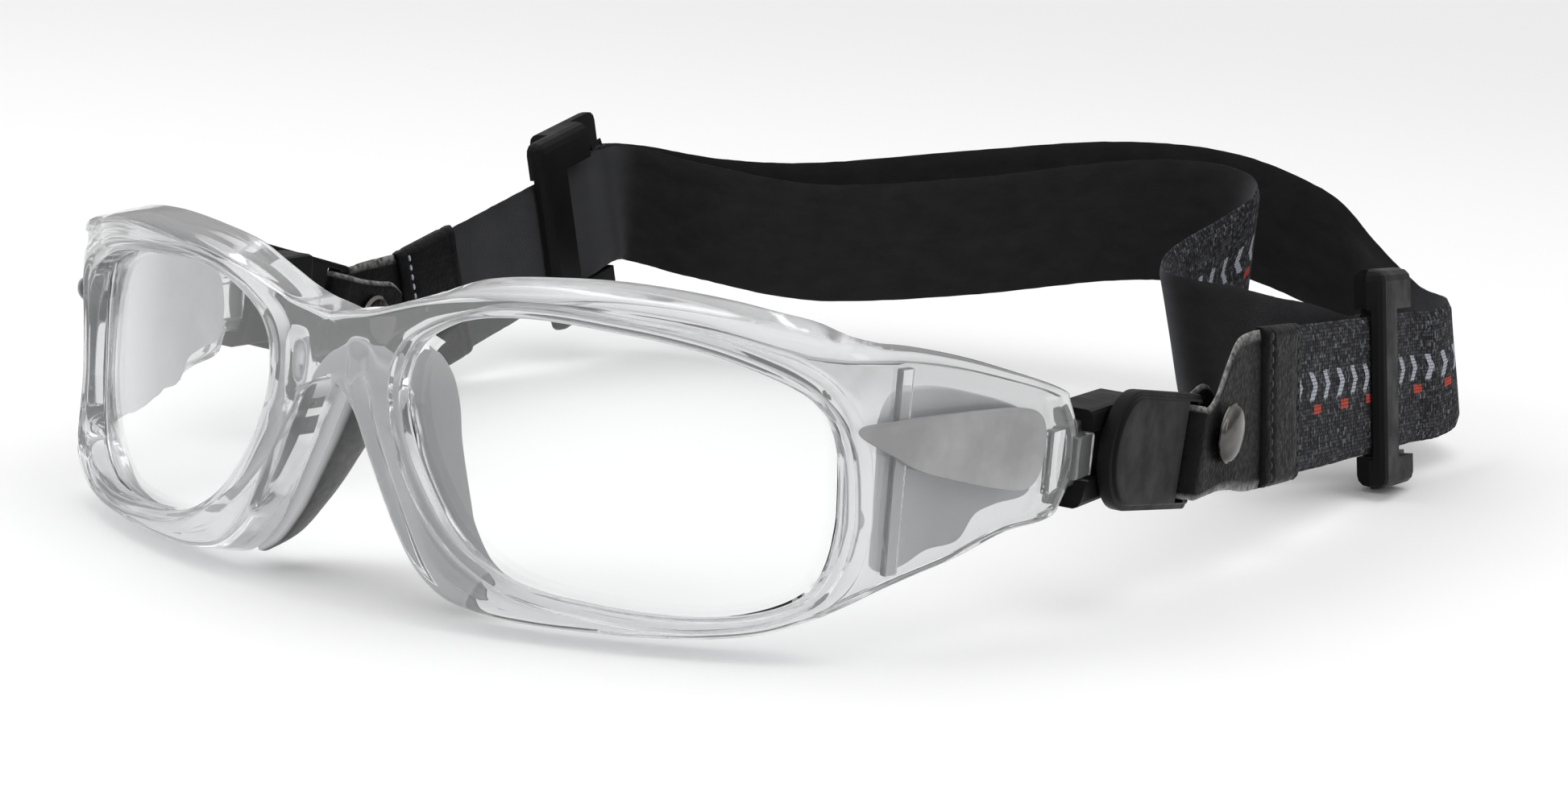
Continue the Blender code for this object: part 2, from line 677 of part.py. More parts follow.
# ------------------------------------------------------------------------ straps
def along(place, slope, lean, run, shift):
    """Station in a slider's own frame: run along the strap, shift outwards."""
    turn = Matrix.Rotation(radians(slope), 3, "X") @ Matrix.Rotation(radians(lean), 3, "Y")
    p = Vector(place) + turn @ Vector((shift, run, 0.0))
    up = turn @ Vector((0.0, 0.0, 1.0))
    return (p.x, p.y, p.z, STRAP_W, up.x / up.z, up.y / up.z)


def free(x, y, z, lean_x=0.0, lean_y=0.0):
    return (x, y, z, STRAP_W, lean_x, lean_y)


def lowered(station, drop_by):
    x, y, z, *rest = station
    return (x, y, z - drop_by, *rest)


def on_left(run, shift):
    return along(SLIDER_LEFT, SLOPE_LEFT, LEAN_LEFT, run, shift)


def on_right(run, shift):
    return along(SLIDER_RIGHT, SLOPE_RIGHT, LEAN_RIGHT, run, shift)


# left strap: from the left tab, through the left slider, round the back on the
# outside, to the right slider
left_line = [on_left(run, 0.0) for run in (-49.2, -34.0, -14.0, 4.0, 14.0)]
left_line += [free(77.4, 207.0, 15.8, -0.16), free(76.8, 218.0, 16.6, -0.2, -0.05),
              free(69.5, 229.0, 17.8, -0.3, -0.22), free(58.0, 233.0, 23.8, -0.12, -0.25),
              free(46.5, 232.5, 31.0, 0.0, -0.08), free(28.5, 228.5, 36.2),
              free(7.0, 223.5, 36.0), free(-20.0, 217.5, 31.4), free(-48.0, 209.5, 26.2),
              free(-66.0, 204.5, 25.0), free(-78.5, 198.5, 26.2, -0.05),
              lowered(on_right(21.5, -6.3), 2.0), lowered(on_right(12.5, -6.3), 0.8),
              on_right(4.5, -6.3)]
band("strap_left", left_line, STRAP_T, ELASTIC, 3)

# right strap: from the right tab, through the right slider, round the back on
# the inside, with a slack fold, to the left slider
right_line = [on_right(run, 0.0) for run in (-37.0, -24.0, -8.0, 4.0, 12.0)]
right_line += [free(-74.4, 188.0, 27.0, -0.04), free(-64.0, 194.0, 24.8),
               free(-40.0, 197.0, 23.6), free(-12.0, 202.0, 28.0), free(14.0, 209.0, 33.8),
               free(28.0, 213.5, 35.2), free(37.5, 213.0, 34.2), free(42.0, 205.0, 31.6),
               free(42.5, 190.0, 28.2, -0.08), free(44.5, 168.0, 25.4, -0.24), free(48.5, 154.5, 23.8, -0.3),
               free(54.0, 152.0, 22.8, -0.26), free(58.5, 158.5, 21.4, -0.14),
               free(61.5, 166.0, 19.6, -0.08), free(65.5, 174.5, 18.2, -0.12),
               on_left(0.0, -6.9), on_left(7.5, -6.6)]
band("strap_right", right_line, STRAP_T, ELASTIC, 3)


def sewn_end(name, place, slope, lean, rearward):
    """End of the other strap, folded round the slider's rear bar and sewn."""
    bar = SLIDER_L / 2 - 1.3
    shift = -3.05
    turn = []
    for k in range(7):
        a = pi * min(k / 6, 0.9999)
        reach = (1.3 + GAP + 0.6) * sin(a) ** 0.6
        off = (0.85 + GAP + 0.55) * abs(cos(a)) ** 0.6 * (1 if k < 3 else -1)
        if rearward:
            turn.append((bar - reach, shift - off))
        else:
            turn.append((bar + reach, shift - off))
    if rearward:
        route = [(bar + 7.8, -4.75), (bar + 4.3, -4.75)] + turn + [(bar + 4.3, -1.35)]
    else:
        route = [(bar - 9.1, -4.85), (bar - 4.2, -4.75)] + turn + [(bar - 4.2, -1.35)]
    stations = [along(place, slope, lean, run, across) for run, across in route]
    return band(name, stations, 0.9, ELASTIC, 2)


sewn_end("strap_end_left", SLIDER_LEFT, SLOPE_LEFT, LEAN_LEFT, False)
sewn_end("strap_end_right", SLIDER_RIGHT, SLOPE_RIGHT, LEAN_RIGHT, True)
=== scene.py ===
"""Looks for the sports protective goggles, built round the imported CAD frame.

Millimetres in the constants, metres in the scene. Each visible piece either is the
CAD node with a finished material or a finer mesh that stands for that node.
"""
from math import cos, pi, radians, sin, sqrt

import bmesh
import bpy
from mathutils import Matrix, Vector, noise


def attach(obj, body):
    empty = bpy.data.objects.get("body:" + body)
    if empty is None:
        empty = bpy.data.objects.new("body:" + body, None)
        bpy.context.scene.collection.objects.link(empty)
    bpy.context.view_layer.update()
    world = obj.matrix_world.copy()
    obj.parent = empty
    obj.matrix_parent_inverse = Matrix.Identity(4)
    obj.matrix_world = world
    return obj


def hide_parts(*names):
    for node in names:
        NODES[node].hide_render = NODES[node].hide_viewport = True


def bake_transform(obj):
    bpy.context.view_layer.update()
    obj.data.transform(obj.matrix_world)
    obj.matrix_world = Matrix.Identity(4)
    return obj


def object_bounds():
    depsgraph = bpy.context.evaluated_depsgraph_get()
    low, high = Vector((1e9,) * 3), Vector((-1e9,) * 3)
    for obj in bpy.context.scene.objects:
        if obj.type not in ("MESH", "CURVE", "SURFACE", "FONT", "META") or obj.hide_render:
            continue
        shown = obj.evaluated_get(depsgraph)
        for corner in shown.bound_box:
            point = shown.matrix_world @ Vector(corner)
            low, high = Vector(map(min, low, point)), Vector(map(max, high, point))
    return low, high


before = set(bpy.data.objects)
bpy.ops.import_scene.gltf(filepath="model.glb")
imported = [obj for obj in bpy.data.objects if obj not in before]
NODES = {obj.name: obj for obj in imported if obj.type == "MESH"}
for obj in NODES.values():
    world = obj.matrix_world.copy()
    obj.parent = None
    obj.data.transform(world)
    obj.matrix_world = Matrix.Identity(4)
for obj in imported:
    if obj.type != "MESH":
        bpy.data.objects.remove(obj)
CAD_BOX = [list(corner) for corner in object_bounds()]

MM = 0.001
GAP = 0.3
WRAP_R = 92.0
FRONT_ARC = 62.0
CORNER_R = 13.0
TEMPLE_ANGLE = 75.0
EYE_Z = 21.0
RIM_DEPTH = 7.2
TEMPLE_DEPTH = 3.0
LENS_T = 2.0
REBATE = 1.3
LIP_DEPTH = 3.3
TONGUE_X = (67.6, 70.4)
TONGUE_START = 56.5
TONGUE_END = 70.0
TONGUE_HALF = 4.2
CATCH_Y = (61.5, 66.8)
CATCH_HALF = 2.8
RIB_S = 72.6
PIVOT_Y = 74.0
PIVOT_Z = 20.8
LINK_X = (72.7, 75.1)
LINK_H = 16.0
TILT_LEFT = 8.5
TILT_RIGHT = 14.5
SLOT_Y = (91.2, 94.4)
LINK_END = 97.4
LEATHER_T = 0.9
LEATHER_LOOP_R = 2.25
RIVET_LEFT = (102.8, 19.7)
RIVET_RIGHT = (102.8, 14.3)
RIVET_R = 4.3
BINDING_Y = (118.3, 133.0)
STRAP_X = 76.0
STRAP_W = 22.0
STRAP_T = 1.3
SLIDER_L = 24.0
SLIDER_LEFT = (STRAP_X, 182.5, 17.1)
SLIDER_RIGHT = (-STRAP_X, 169.0, 24.4)
SLOPE_LEFT = -3.7
SLOPE_RIGHT = 14.0
LEAN_LEFT = -9.0
LEAN_RIGHT = -4.0


# -------------------------------------------------------------------- materials
class Finish:
    """A material being built: node adding and linking with few words."""

    def __init__(self, name, colour, rough, **sockets):
        self.mat = bpy.data.materials.new(name)
        self.mat.use_nodes = True
        self.tree = self.mat.node_tree
        self.shader = self.tree.nodes["Principled BSDF"]
        self.shader.inputs["Base Color"].default_value = (*colour, 1.0)
        self.shader.inputs["Roughness"].default_value = rough
        for key, value in sockets.items():
            self.shader.inputs[key.replace("_", " ")].default_value = value

    def node(self, kind, inputs=None, **settings):
        node = self.tree.nodes.new("ShaderNode" + kind)
        for key, value in settings.items():
            setattr(node, key, value)
        for key, value in (inputs or {}).items():
            if isinstance(value, bpy.types.NodeSocket):
                self.tree.links.new(value, node.inputs[key])
            else:
                node.inputs[key].default_value = value
        return node

    def math(self, operation, a, b=0.0, c=0.0):
        return self.node("Math", {0: a, 1: b, 2: c}, operation=operation).outputs[0]

    def mix(self, share, a, b):
        node = self.node("Mix", {"Factor": share}, data_type="RGBA")
        for key, value in ((6, a), (7, b)):
            if isinstance(value, bpy.types.NodeSocket):
                self.tree.links.new(value, node.inputs[key])
            else:
                node.inputs[key].default_value = (*value, 1.0)
        return node.outputs[2]

    def place(self, scale=(1.0, 1.0, 1.0), uv=None):
        """Object coordinates in metres, or a UV map, times scale."""
        if uv:
            source = self.node("UVMap", uv_map=uv).outputs["UV"]
        else:
            source = self.node("TexCoord").outputs["Object"]
        return self.node("Mapping", {"Vector": source, "Scale": scale}).outputs[0]

    def noise(self, where, scale, detail=3.0, rough=0.5):
        return self.node("TexNoise", {"Vector": where, "Scale": scale, "Detail": detail,
                                      "Roughness": rough}).outputs["Fac"]

    def ramp(self, value, low, high, out_low=0.0, out_high=1.0):
        return self.node("MapRange", {"Value": value, "From Min": low, "From Max": high,
                                      "To Min": out_low, "To Max": out_high}).outputs[0]

    def bump(self, height, distance, strength=1.0, after=None):
        inputs = {"Height": height, "Distance": distance, "Strength": strength}
        if after:
            inputs["Normal"] = after
        return self.node("Bump", inputs).outputs[0]

    def set(self, key, socket):
        self.tree.links.new(socket, self.shader.inputs[key])

    def light_shadow(self, share, tint):
        """Let this share of the light through, so that glass casts a pale shadow."""
        out = self.tree.nodes["Material Output"]
        clear = self.node("BsdfTransparent", {"Color": (*tint, 1.0)})
        is_shadow = self.node("LightPath").outputs["Is Shadow Ray"]
        both = self.node("MixShader", {"Fac": self.math("MULTIPLY", is_shadow, share)})
        self.tree.links.new(self.shader.outputs[0], both.inputs[1])
        self.tree.links.new(clear.outputs[0], both.inputs[2])
        self.tree.links.new(both.outputs[0], out.inputs["Surface"])


def clear_plastic():
    f = Finish("clear_polycarbonate", (0.75, 0.755, 0.762), 0.03, IOR=1.54,
               Transmission_Weight=0.88, Specular_IOR_Level=0.6)
    where = f.place()
    haze = f.noise(where, 420.0, 4.0)
    f.set("Roughness", f.ramp(haze, 0.42, 0.75, 0.015, 0.10))
    ripple = f.noise(where, 55.0, 2.0)
    f.set("Normal", f.bump(ripple, 0.0005, 0.25))
    f.light_shadow(0.86, (0.80, 0.81, 0.82))
    return f.mat


def lens_plastic():
    f = Finish("lens_polycarbonate", (0.975, 0.985, 0.985), 0.0, IOR=1.5,
               Transmission_Weight=1.0, Coat_Weight=0.15)
    smear = f.noise(f.place((1.0, 1.0, 0.6)), 90.0, 3.0)
    f.set("Roughness", f.ramp(smear, 0.55, 0.8, 0.0, 0.03))
    f.light_shadow(0.97, (0.95, 0.96, 0.96))
    return f.mat


def silicone(name, colour, edge, clear):
    """Soft grey moulding; the edge colour goes where tone is 1: painted highlight on the nose
    saddle, lighter front end on the temple cushion.
    """
    f = Finish(name, colour, 0.5, Subsurface_Weight=0.12, Subsurface_Scale=0.002,
               Transmission_Weight=clear, Sheen_Weight=0.15, Sheen_Roughness=0.4)
    f.shader.inputs["Subsurface Radius"].default_value = (1.0, 1.0, 1.0)
    where = f.place()
    mottle = f.noise(where, 160.0, 4.0)
    tone = f.node("Attribute", attribute_name="tone").outputs["Fac"]
    dark = tuple(c * 0.86 for c in colour)
    body = f.mix(f.ramp(mottle, 0.35, 0.7), dark, colour)
    # painted highlight on the nose saddle: the edge colour where tone is 1
    f.set("Base Color", f.mix(tone, body, edge))
    f.set("Roughness", f.ramp(f.noise(where, 900.0, 2.0), 0.3, 0.7, 0.42, 0.58))
    grain = f.noise(where, 2600.0, 2.0)
    f.set("Normal", f.bump(grain, 0.000012, 0.4))
    return f.mat


def moulded(name, colour, low, high, metal=0.0, grain=0.00003, ior=1.5):
    """Satin plastic with a fine spark-eroded texture and rubbed patches."""
    f = Finish(name, colour, low, Metallic=metal, Specular_IOR_Level=0.5, IOR=ior)
    where = f.place()
    cloud = f.noise(where, 70.0, 4.0, 0.6)
    f.set("Base Color", f.mix(f.ramp(cloud, 0.35, 0.7), tuple(c * 0.82 for c in colour),
                              tuple(min(c * 1.2, 1.0) for c in colour)))
    f.set("Roughness", f.ramp(f.noise(where, 240.0, 3.0), 0.35, 0.65, low, high))
    spark = f.noise(where, 3200.0, 2.0)
    wave = f.noise(where, 130.0, 1.0)
    f.set("Normal", f.bump(spark, grain, 0.6, f.bump(wave, 0.0002, 0.25)))
    return f.mat


def leather():
    """Grained black leather; tone is 1 along the strip's long edges, which are coloured pale grey.
    """
    f = Finish("black_leather", (0.006, 0.006, 0.0065), 0.42, IOR=1.17)
    where = f.place()
    cells = f.node("TexVoronoi", {"Vector": where, "Scale": 1500.0}, feature="F1")
    pores = f.noise(where, 1100.0, 4.0, 0.65)
    creases = f.noise(where, 240.0, 5.0, 0.62)
    tone = f.node("Attribute", attribute_name="tone").outputs["Fac"]
    skin = f.mix(f.ramp(creases, 0.4, 0.75), (0.003, 0.003, 0.0033), (0.0075, 0.0075, 0.008))
    # pale grey colour along the long edges where tone is 1
    pale_edge = f.mix(f.ramp(pores, 0.35, 0.6), (0.06, 0.058, 0.056), (0.34, 0.335, 0.33))
    f.set("Base Color", f.mix(tone, skin, pale_edge))
    f.set("Roughness", f.ramp(pores, 0.35, 0.7, 0.36, 0.62))
    grain = f.bump(cells.outputs["Distance"], 0.00012, 0.55)
    f.set("Normal", f.bump(creases, 0.0005, 0.5, grain))
    return f.mat


def woven(name, marks):
    """Elastic webbing seen from its woven face. The weave map runs along the strap
    in U and across it in V, both in millimetres."""
    f = Finish(name, (0.02, 0.02, 0.022), 0.75, Sheen_Weight=0.04, Sheen_Roughness=0.5,
               IOR=1.15)
    uv = f.place(uv="weave")
    knots = f.node("TexBrick", {"Vector": uv, "Scale": 1.0, "Mortar Size": 0.07,
                                "Mortar Smooth": 0.6, "Bias": -0.2, "Brick Width": 0.85,
                                "Row Height": 0.56,
                                "Color1": (0.005, 0.005, 0.006, 1.0),
                                "Color2": (0.075, 0.077, 0.09, 1.0),
                                "Mortar": (0.002, 0.002, 0.0024, 1.0)}, offset=0.5)
    fleck = f.node("TexWhiteNoise", {"Vector": f.node("VectorMath", {
        0: f.place((1.9, 1.6, 1.0), uv="weave")}, operation="FLOOR").outputs[0]},
        noise_dimensions="2D").outputs["Value"]
    cloudy = f.noise(f.place((0.22, 0.3, 1.0), uv="weave"), 1.0, 4.0)
    strands = f.mix(f.ramp(fleck, 0.9, 0.99), knots.outputs["Color"], (0.15, 0.155, 0.18))
    colour = f.mix(f.ramp(cloudy, 0.35, 0.8, 0.0, 0.4), strands, (0.012, 0.012, 0.014))
    if marks:
        split = f.node("SeparateXYZ", {0: uv})
        u, v = split.outputs[0], split.outputs[1]
        ragged = f.math("MULTIPLY", f.math("SUBTRACT", fleck, 0.5), 0.35)
        for pitch, wide, low, high, slant, tint in (
                (6.8, 2.1, -0.6, 3.7, 0.85, (0.46, 0.48, 0.54)),
                (13.6, 3.6, -2.7, -1.3, 0.0, (0.52, 0.06, 0.035))):
            rise = f.math("ABSOLUTE", f.math("SUBTRACT", v, (low + high) / 2))
            lean = f.math("MULTIPLY_ADD", rise, slant, u)
            phase = f.math("MODULO", f.math("ADD", lean, 400.0), pitch)
            here = f.math("LESS_THAN", f.math("ADD", phase, ragged), wide)
            above = f.math("GREATER_THAN", f.math("ADD", v, ragged), low)
            below = f.math("LESS_THAN", f.math("ADD", v, ragged), high)
            inside = f.math("MULTIPLY", here, f.math("MULTIPLY", above, below))
            thread = f.math("MULTIPLY", inside, f.ramp(knots.outputs["Fac"], 0.0, 1.0, 0.85, 0.3))
            colour = f.mix(thread, colour, tint)
    f.set("Base Color", colour)
    bulge = f.math("SUBTRACT", 1.0, knots.outputs["Fac"])
    rib = f.node("TexWave", {"Vector": uv, "Scale": 0.305, "Distortion": 0.6}, wave_type="BANDS",
                 bands_direction="X").outputs["Fac"]
    f.set("Normal", f.bump(bulge, 0.00016, 0.8, f.bump(rib, 0.0001, 0.5)))
    return f.mat


def velour():
    """The brushed face of the elastic."""
    f = Finish("strap_velour", (0.011, 0.011, 0.0115), 0.95, Sheen_Weight=0.35,
               Sheen_Roughness=0.45, Specular_IOR_Level=0.08)
    f.shader.inputs["Sheen Tint"].default_value = (0.5, 0.51, 0.54, 1.0)
    uv = f.place(uv="weave")
    pile = f.noise(uv, 7.0, 4.0, 0.7)
    brushed = f.noise(f.place((0.15, 0.3, 1.0), uv="weave"), 1.1, 4.0, 0.6)
    lint = f.noise(uv, 3.1, 6.0, 0.8)
    base = f.mix(f.ramp(brushed, 0.3, 0.75), (0.010, 0.010, 0.0105), (0.0165, 0.0165, 0.0175))
    f.set("Base Color", f.mix(f.ramp(lint, 0.66, 0.8, 0.0, 0.5), base, (0.09, 0.09, 0.095)))
    f.set("Normal", f.bump(pile, 0.00022, 0.7))
    return f.mat


def polished_metal():
    f = Finish("gunmetal", (0.12, 0.115, 0.11), 0.16, Metallic=1.0)
    where = f.place()
    f.set("Roughness", f.ramp(f.noise(where, 520.0, 5.0, 0.7), 0.35, 0.75, 0.10, 0.34))
    worn = f.noise(where, 160.0, 4.0)
    f.set("Base Color", f.mix(f.ramp(worn, 0.35, 0.7), (0.07, 0.067, 0.064), (0.19, 0.18, 0.17)))
    f.set("Normal", f.bump(f.noise(where, 1500.0, 2.0), 0.00002, 0.4))
    return f.mat


def thread(name, low, high):
    f = Finish(name, low, 0.7, Sheen_Weight=0.3)
    twist = f.noise(f.place((1.0, 1.0, 2.5)), 2600.0, 2.0)
    f.set("Base Color", f.mix(f.ramp(twist, 0.35, 0.65), low, high))
    f.set("Normal", f.bump(twist, 0.00008, 0.6))
    return f.mat


CLEAR = clear_plastic()
LENS = lens_plastic()
# nose saddle: dark body is the grey silicone darkened further as painted shade, pale edge colour
# is a painted highlight
NOSE = silicone("grey_silicone", (0.036, 0.036, 0.038), (0.60, 0.60, 0.61), 0.0)
PAD = silicone("pale_silicone", (0.63, 0.63, 0.652), (0.74, 0.75, 0.77), 0.35)
SATIN = moulded("satin_grey", (0.33, 0.33, 0.336), 0.34, 0.46, 0.2)
BLACK = moulded("black_nylon", (0.007, 0.007, 0.0075), 0.34, 0.48, ior=1.15)
LEATHER = leather()
WOVEN = woven("strap_woven", True)
PLAIN_WEAVE = woven("strap_woven_plain", False)
VELOUR = velour()
METAL = polished_metal()
DARK_THREAD = thread("dark_thread", (0.008, 0.008, 0.009), (0.03, 0.03, 0.032))
PALE_THREAD = thread("pale_thread", (0.16, 0.18, 0.20), (0.42, 0.46, 0.50))


# ---------------------------------------------------------------------- helpers
def piece(name, bm, mats, body, smooth=40.0, stands_for=()):
    """Finish a mesh, give it its materials and body, and hide what it stands for."""
    bmesh.ops.recalc_face_normals(bm, faces=bm.faces)
    mesh = bpy.data.meshes.new(name)
    bm.to_mesh(mesh)
    bm.free()
    mesh.shade_smooth()
    mesh.set_sharp_from_angle(angle=radians(smooth))
    obj = bpy.data.objects.new(name, mesh)
    bpy.context.scene.collection.objects.link(obj)
    for mat in mats:
        mesh.materials.append(mat)
    if body:
        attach(obj, body)
    if stands_for:
        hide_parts(*stands_for)
    return obj


def paint(node, mat):
    """Give a CAD node that stays in view its finished material."""
    obj = NODES[node]
    if not obj.material_slots:
        obj.data.materials.append(mat)
    for held in obj.material_slots:
        held.material = mat
    return obj


def baked(obj):
    """Give obj the mesh that its modifiers make."""
    graph = bpy.context.evaluated_depsgraph_get()
    mesh = bpy.data.meshes.new_from_object(obj.evaluated_get(graph))
    obj.modifiers.clear()
    mesh.shade_smooth()
    mesh.set_sharp_from_angle(angle=radians(40))
    obj.data = mesh
    return obj


def boolean(obj, bm, operation):
    """Join or cut obj with the closed mesh in bm."""
    bmesh.ops.recalc_face_normals(bm, faces=bm.faces)
    mesh = bpy.data.meshes.new("tool")
    bm.to_mesh(mesh)
    bm.free()
    tool = bpy.data.objects.new("tool", mesh)
    bpy.context.scene.collection.objects.link(tool)
    mod = obj.modifiers.new("boolean", "BOOLEAN")
    mod.operation = operation
    mod.solver = "EXACT"
    mod.object = tool
    baked(obj)
    bpy.data.objects.remove(tool, do_unlink=True)
    return obj


def brick(low, high, round_by=0.0):
    """Box between two corners in millimetres, with rounded edges."""
    low, high = Vector(low) * MM, Vector(high) * MM
    bm = bmesh.new()
    bmesh.ops.create_cube(bm, size=1.0)
    bmesh.ops.scale(bm, vec=high - low, verts=bm.verts)
    bmesh.ops.translate(bm, vec=(low + high) / 2, verts=bm.verts)
    if round_by:
        bmesh.ops.bevel(bm, geom=bm.edges[:], offset=round_by * MM, segments=4, profile=0.5,
                        affect="EDGES")
    return bm


def mirror(bm):
    """Mirror a mesh in the making to the wearer's right."""
    bmesh.ops.scale(bm, vec=(-1.0, 1.0, 1.0), verts=bm.verts)
    bmesh.ops.reverse_faces(bm, faces=bm.faces)
    return bm


def flip(obj):
    """Mirror a finished mesh to the wearer's right."""
    obj.data.transform(Matrix.Scale(-1, 4, (1, 0, 0)))
    obj.data.flip_normals()
    return obj


def loft(bm, rings):
    """Join each ring of vertices to the next one with quads."""
    count = len(rings[0])
    for a, b in zip(rings, rings[1:]):
        for k in range(count):
            n = (k + 1) % count
            bm.faces.new((a[k], a[n], b[n], b[k]))


def cap(bm, rings):
    bm.faces.new(rings[0])
    bm.faces.new(rings[-1])


def fan(bm, ring, hub):
    """Close a ring with triangles to a point in its middle."""
    centre = bm.verts.new(hub)
    for k, corner in enumerate(ring):
        bm.faces.new((centre, corner, ring[(k + 1) % len(ring)]))


def turned(bm, profile, sides, centre, base=0.0):
    """Closed solid turned about the X axis through centre (y, z). The profile gives
    radius and x, and x is measured from base."""
    rings = []
    for run, x in profile:
        ring = []
        for k in range(sides):
            a = 2 * pi * k / sides
            ring.append(bm.verts.new(Vector((base + x, centre[0] + run * cos(a),
                                             centre[1] + run * sin(a))) * MM))
        rings.append(ring)
    loft(bm, rings)
    cap(bm, rings)


def spline(points, steps, closed=False):
    """Catmull-Rom curve through points of any dimension."""
    pts = [Vector(p) for p in points]
    count = len(pts)
    result = []
    spans = count if closed else count - 1
    for i in range(spans):
        if closed:
            a, b, c, d = (pts[(i + k - 1) % count] for k in range(4))
        else:
            a, b, c, d = (pts[min(max(i + k - 1, 0), count - 1)] for k in range(4))
        for k in range(steps):
            t = k / steps
            result.append(0.5 * (2 * b + (c - a) * t + (2 * a - 5 * b + 4 * c - d) * t * t
                                 + (3 * b - a - 3 * c + d) * t ** 3))
    if not closed:
        result.append(pts[-1])
    return result


def step(value, low, high):
    """0 below low, 1 above high and smooth between them."""
    t = min(max((value - low) / (high - low), 0.0), 1.0)
    return t * t * (3 - 2 * t)


# ------------------------------------------------------------------ clear frame
CORNER_START = FRONT_ARC / WRAP_R
CORNER_END = radians(TEMPLE_ANGLE)
CORNER_LEN = CORNER_R * (CORNER_END - CORNER_START)


def wrap(s, depth, z):
    """Point at arc length s from the middle, depth behind the outer surface."""
    a = abs(s)
    if a <= FRONT_ARC:
        turn = a / WRAP_R
        x, y = WRAP_R * sin(turn), WRAP_R * (1 - cos(turn))
    else:
        x = WRAP_R * sin(CORNER_START)
        y = WRAP_R * (1 - cos(CORNER_START))
        turn = min(CORNER_START + (a - FRONT_ARC) / CORNER_R, CORNER_END)
        x += CORNER_R * (sin(turn) - sin(CORNER_START))
        y += CORNER_R * (cos(CORNER_START) - cos(turn))
        rest = max(a - FRONT_ARC - CORNER_LEN, 0.0)
        x += rest * cos(turn)
        y += rest * sin(turn)
    x -= depth * sin(turn)
    y += depth * cos(turn)
    return Vector((x if s >= 0 else -x, y, z + EYE_Z)) * MM


def frame_depth(s):
    """Thickness from front to back, deep at the rims and thin at the temples."""
    return RIM_DEPTH + (TEMPLE_DEPTH - RIM_DEPTH) * step(abs(s), 58.0, 73.0)


# lens opening (s, z) and outer edge (s, z), station by station round the left eye
STATIONS = [
    ((10.6, 2.2), (-2.5, 8.6)), ((10.1, 5.6), (-2.5, 11.2)), ((10.4, 9.2), (-2.4, 13.7)),
    ((11.6, 11.8), (0.8, 14.7)), ((13.8, 13.8), (5.5, 15.6)), ((17.4, 15.6), (12.0, 17.7)),
    ((22.0, 16.7), (20.0, 19.6)), ((28.5, 17.0), (28.0, 20.4)), ((35.5, 16.5), (35.5, 20.7)),
    ((42.0, 15.8), (42.5, 20.4)), ((48.5, 14.6), (50.0, 19.6)), ((54.5, 12.8), (57.0, 18.4)),
    ((59.0, 10.9), (64.8, 17.3)), ((61.4, 9.0), (73.0, 16.6)), ((62.9, 7.4), (82.4, 14.9)),
    ((63.9, 5.8), (92.4, 12.5)), ((64.5, 4.4), (103.7, 9.3)), ((64.9, 3.0), (105.9, 7.4)),
    ((65.3, 0.6), (108.5, 1.0)), ((65.6, -2.4), (105.9, -5.4)), ((65.7, -4.6), (103.5, -7.5)),
    ((65.4, -6.6), (95.2, -8.2)), ((65.0, -8.4), (86.4, -10.4)), ((64.0, -10.6), (77.0, -12.0)),
    ((62.0, -13.2), (70.3, -13.3)), ((58.6, -15.2), (63.2, -16.0)), ((53.5, -16.5), (56.5, -18.3)),
    ((47.5, -17.0), (49.0, -19.2)), ((41.0, -16.9), (41.5, -19.5)), ((35.0, -16.4), (34.5, -19.5)),
    ((29.8, -15.8), (28.0, -19.4)), ((25.0, -14.6), (22.5, -19.0)), ((20.6, -12.3), (17.4, -17.7)),
    ((17.4, -9.7), (13.6, -14.9)), ((15.2, -7.0), (10.8, -11.0)), ((13.3, -4.0), (8.3, -6.4)),
    ((12.0, -1.6), (5.8, -1.2)), ((11.2, 0.4), (2.6, 5.2)),
]
MID_ROWS = 14


def frame_flare(s):
    """How far the frame's back spreads past its outer edge."""
    near = min(max((abs(s) - 9.0) / 9.0, 0.0), 1.0)
    far = min(max((70.0 - abs(s)) / 10.0, 0.0), 1.0)
    return 1.1 * near * far


def ridge(p):
    """Two upright ridges over the bridge, as depth."""
    swell = ((abs(p.x) - 4.6) / 1.7) ** 2
    return -0.75 * max(0.0, 1.0 - swell) * step(p.y, 2.0, 8.0) * (1.0 - step(p.y, 9.5, 12.5))


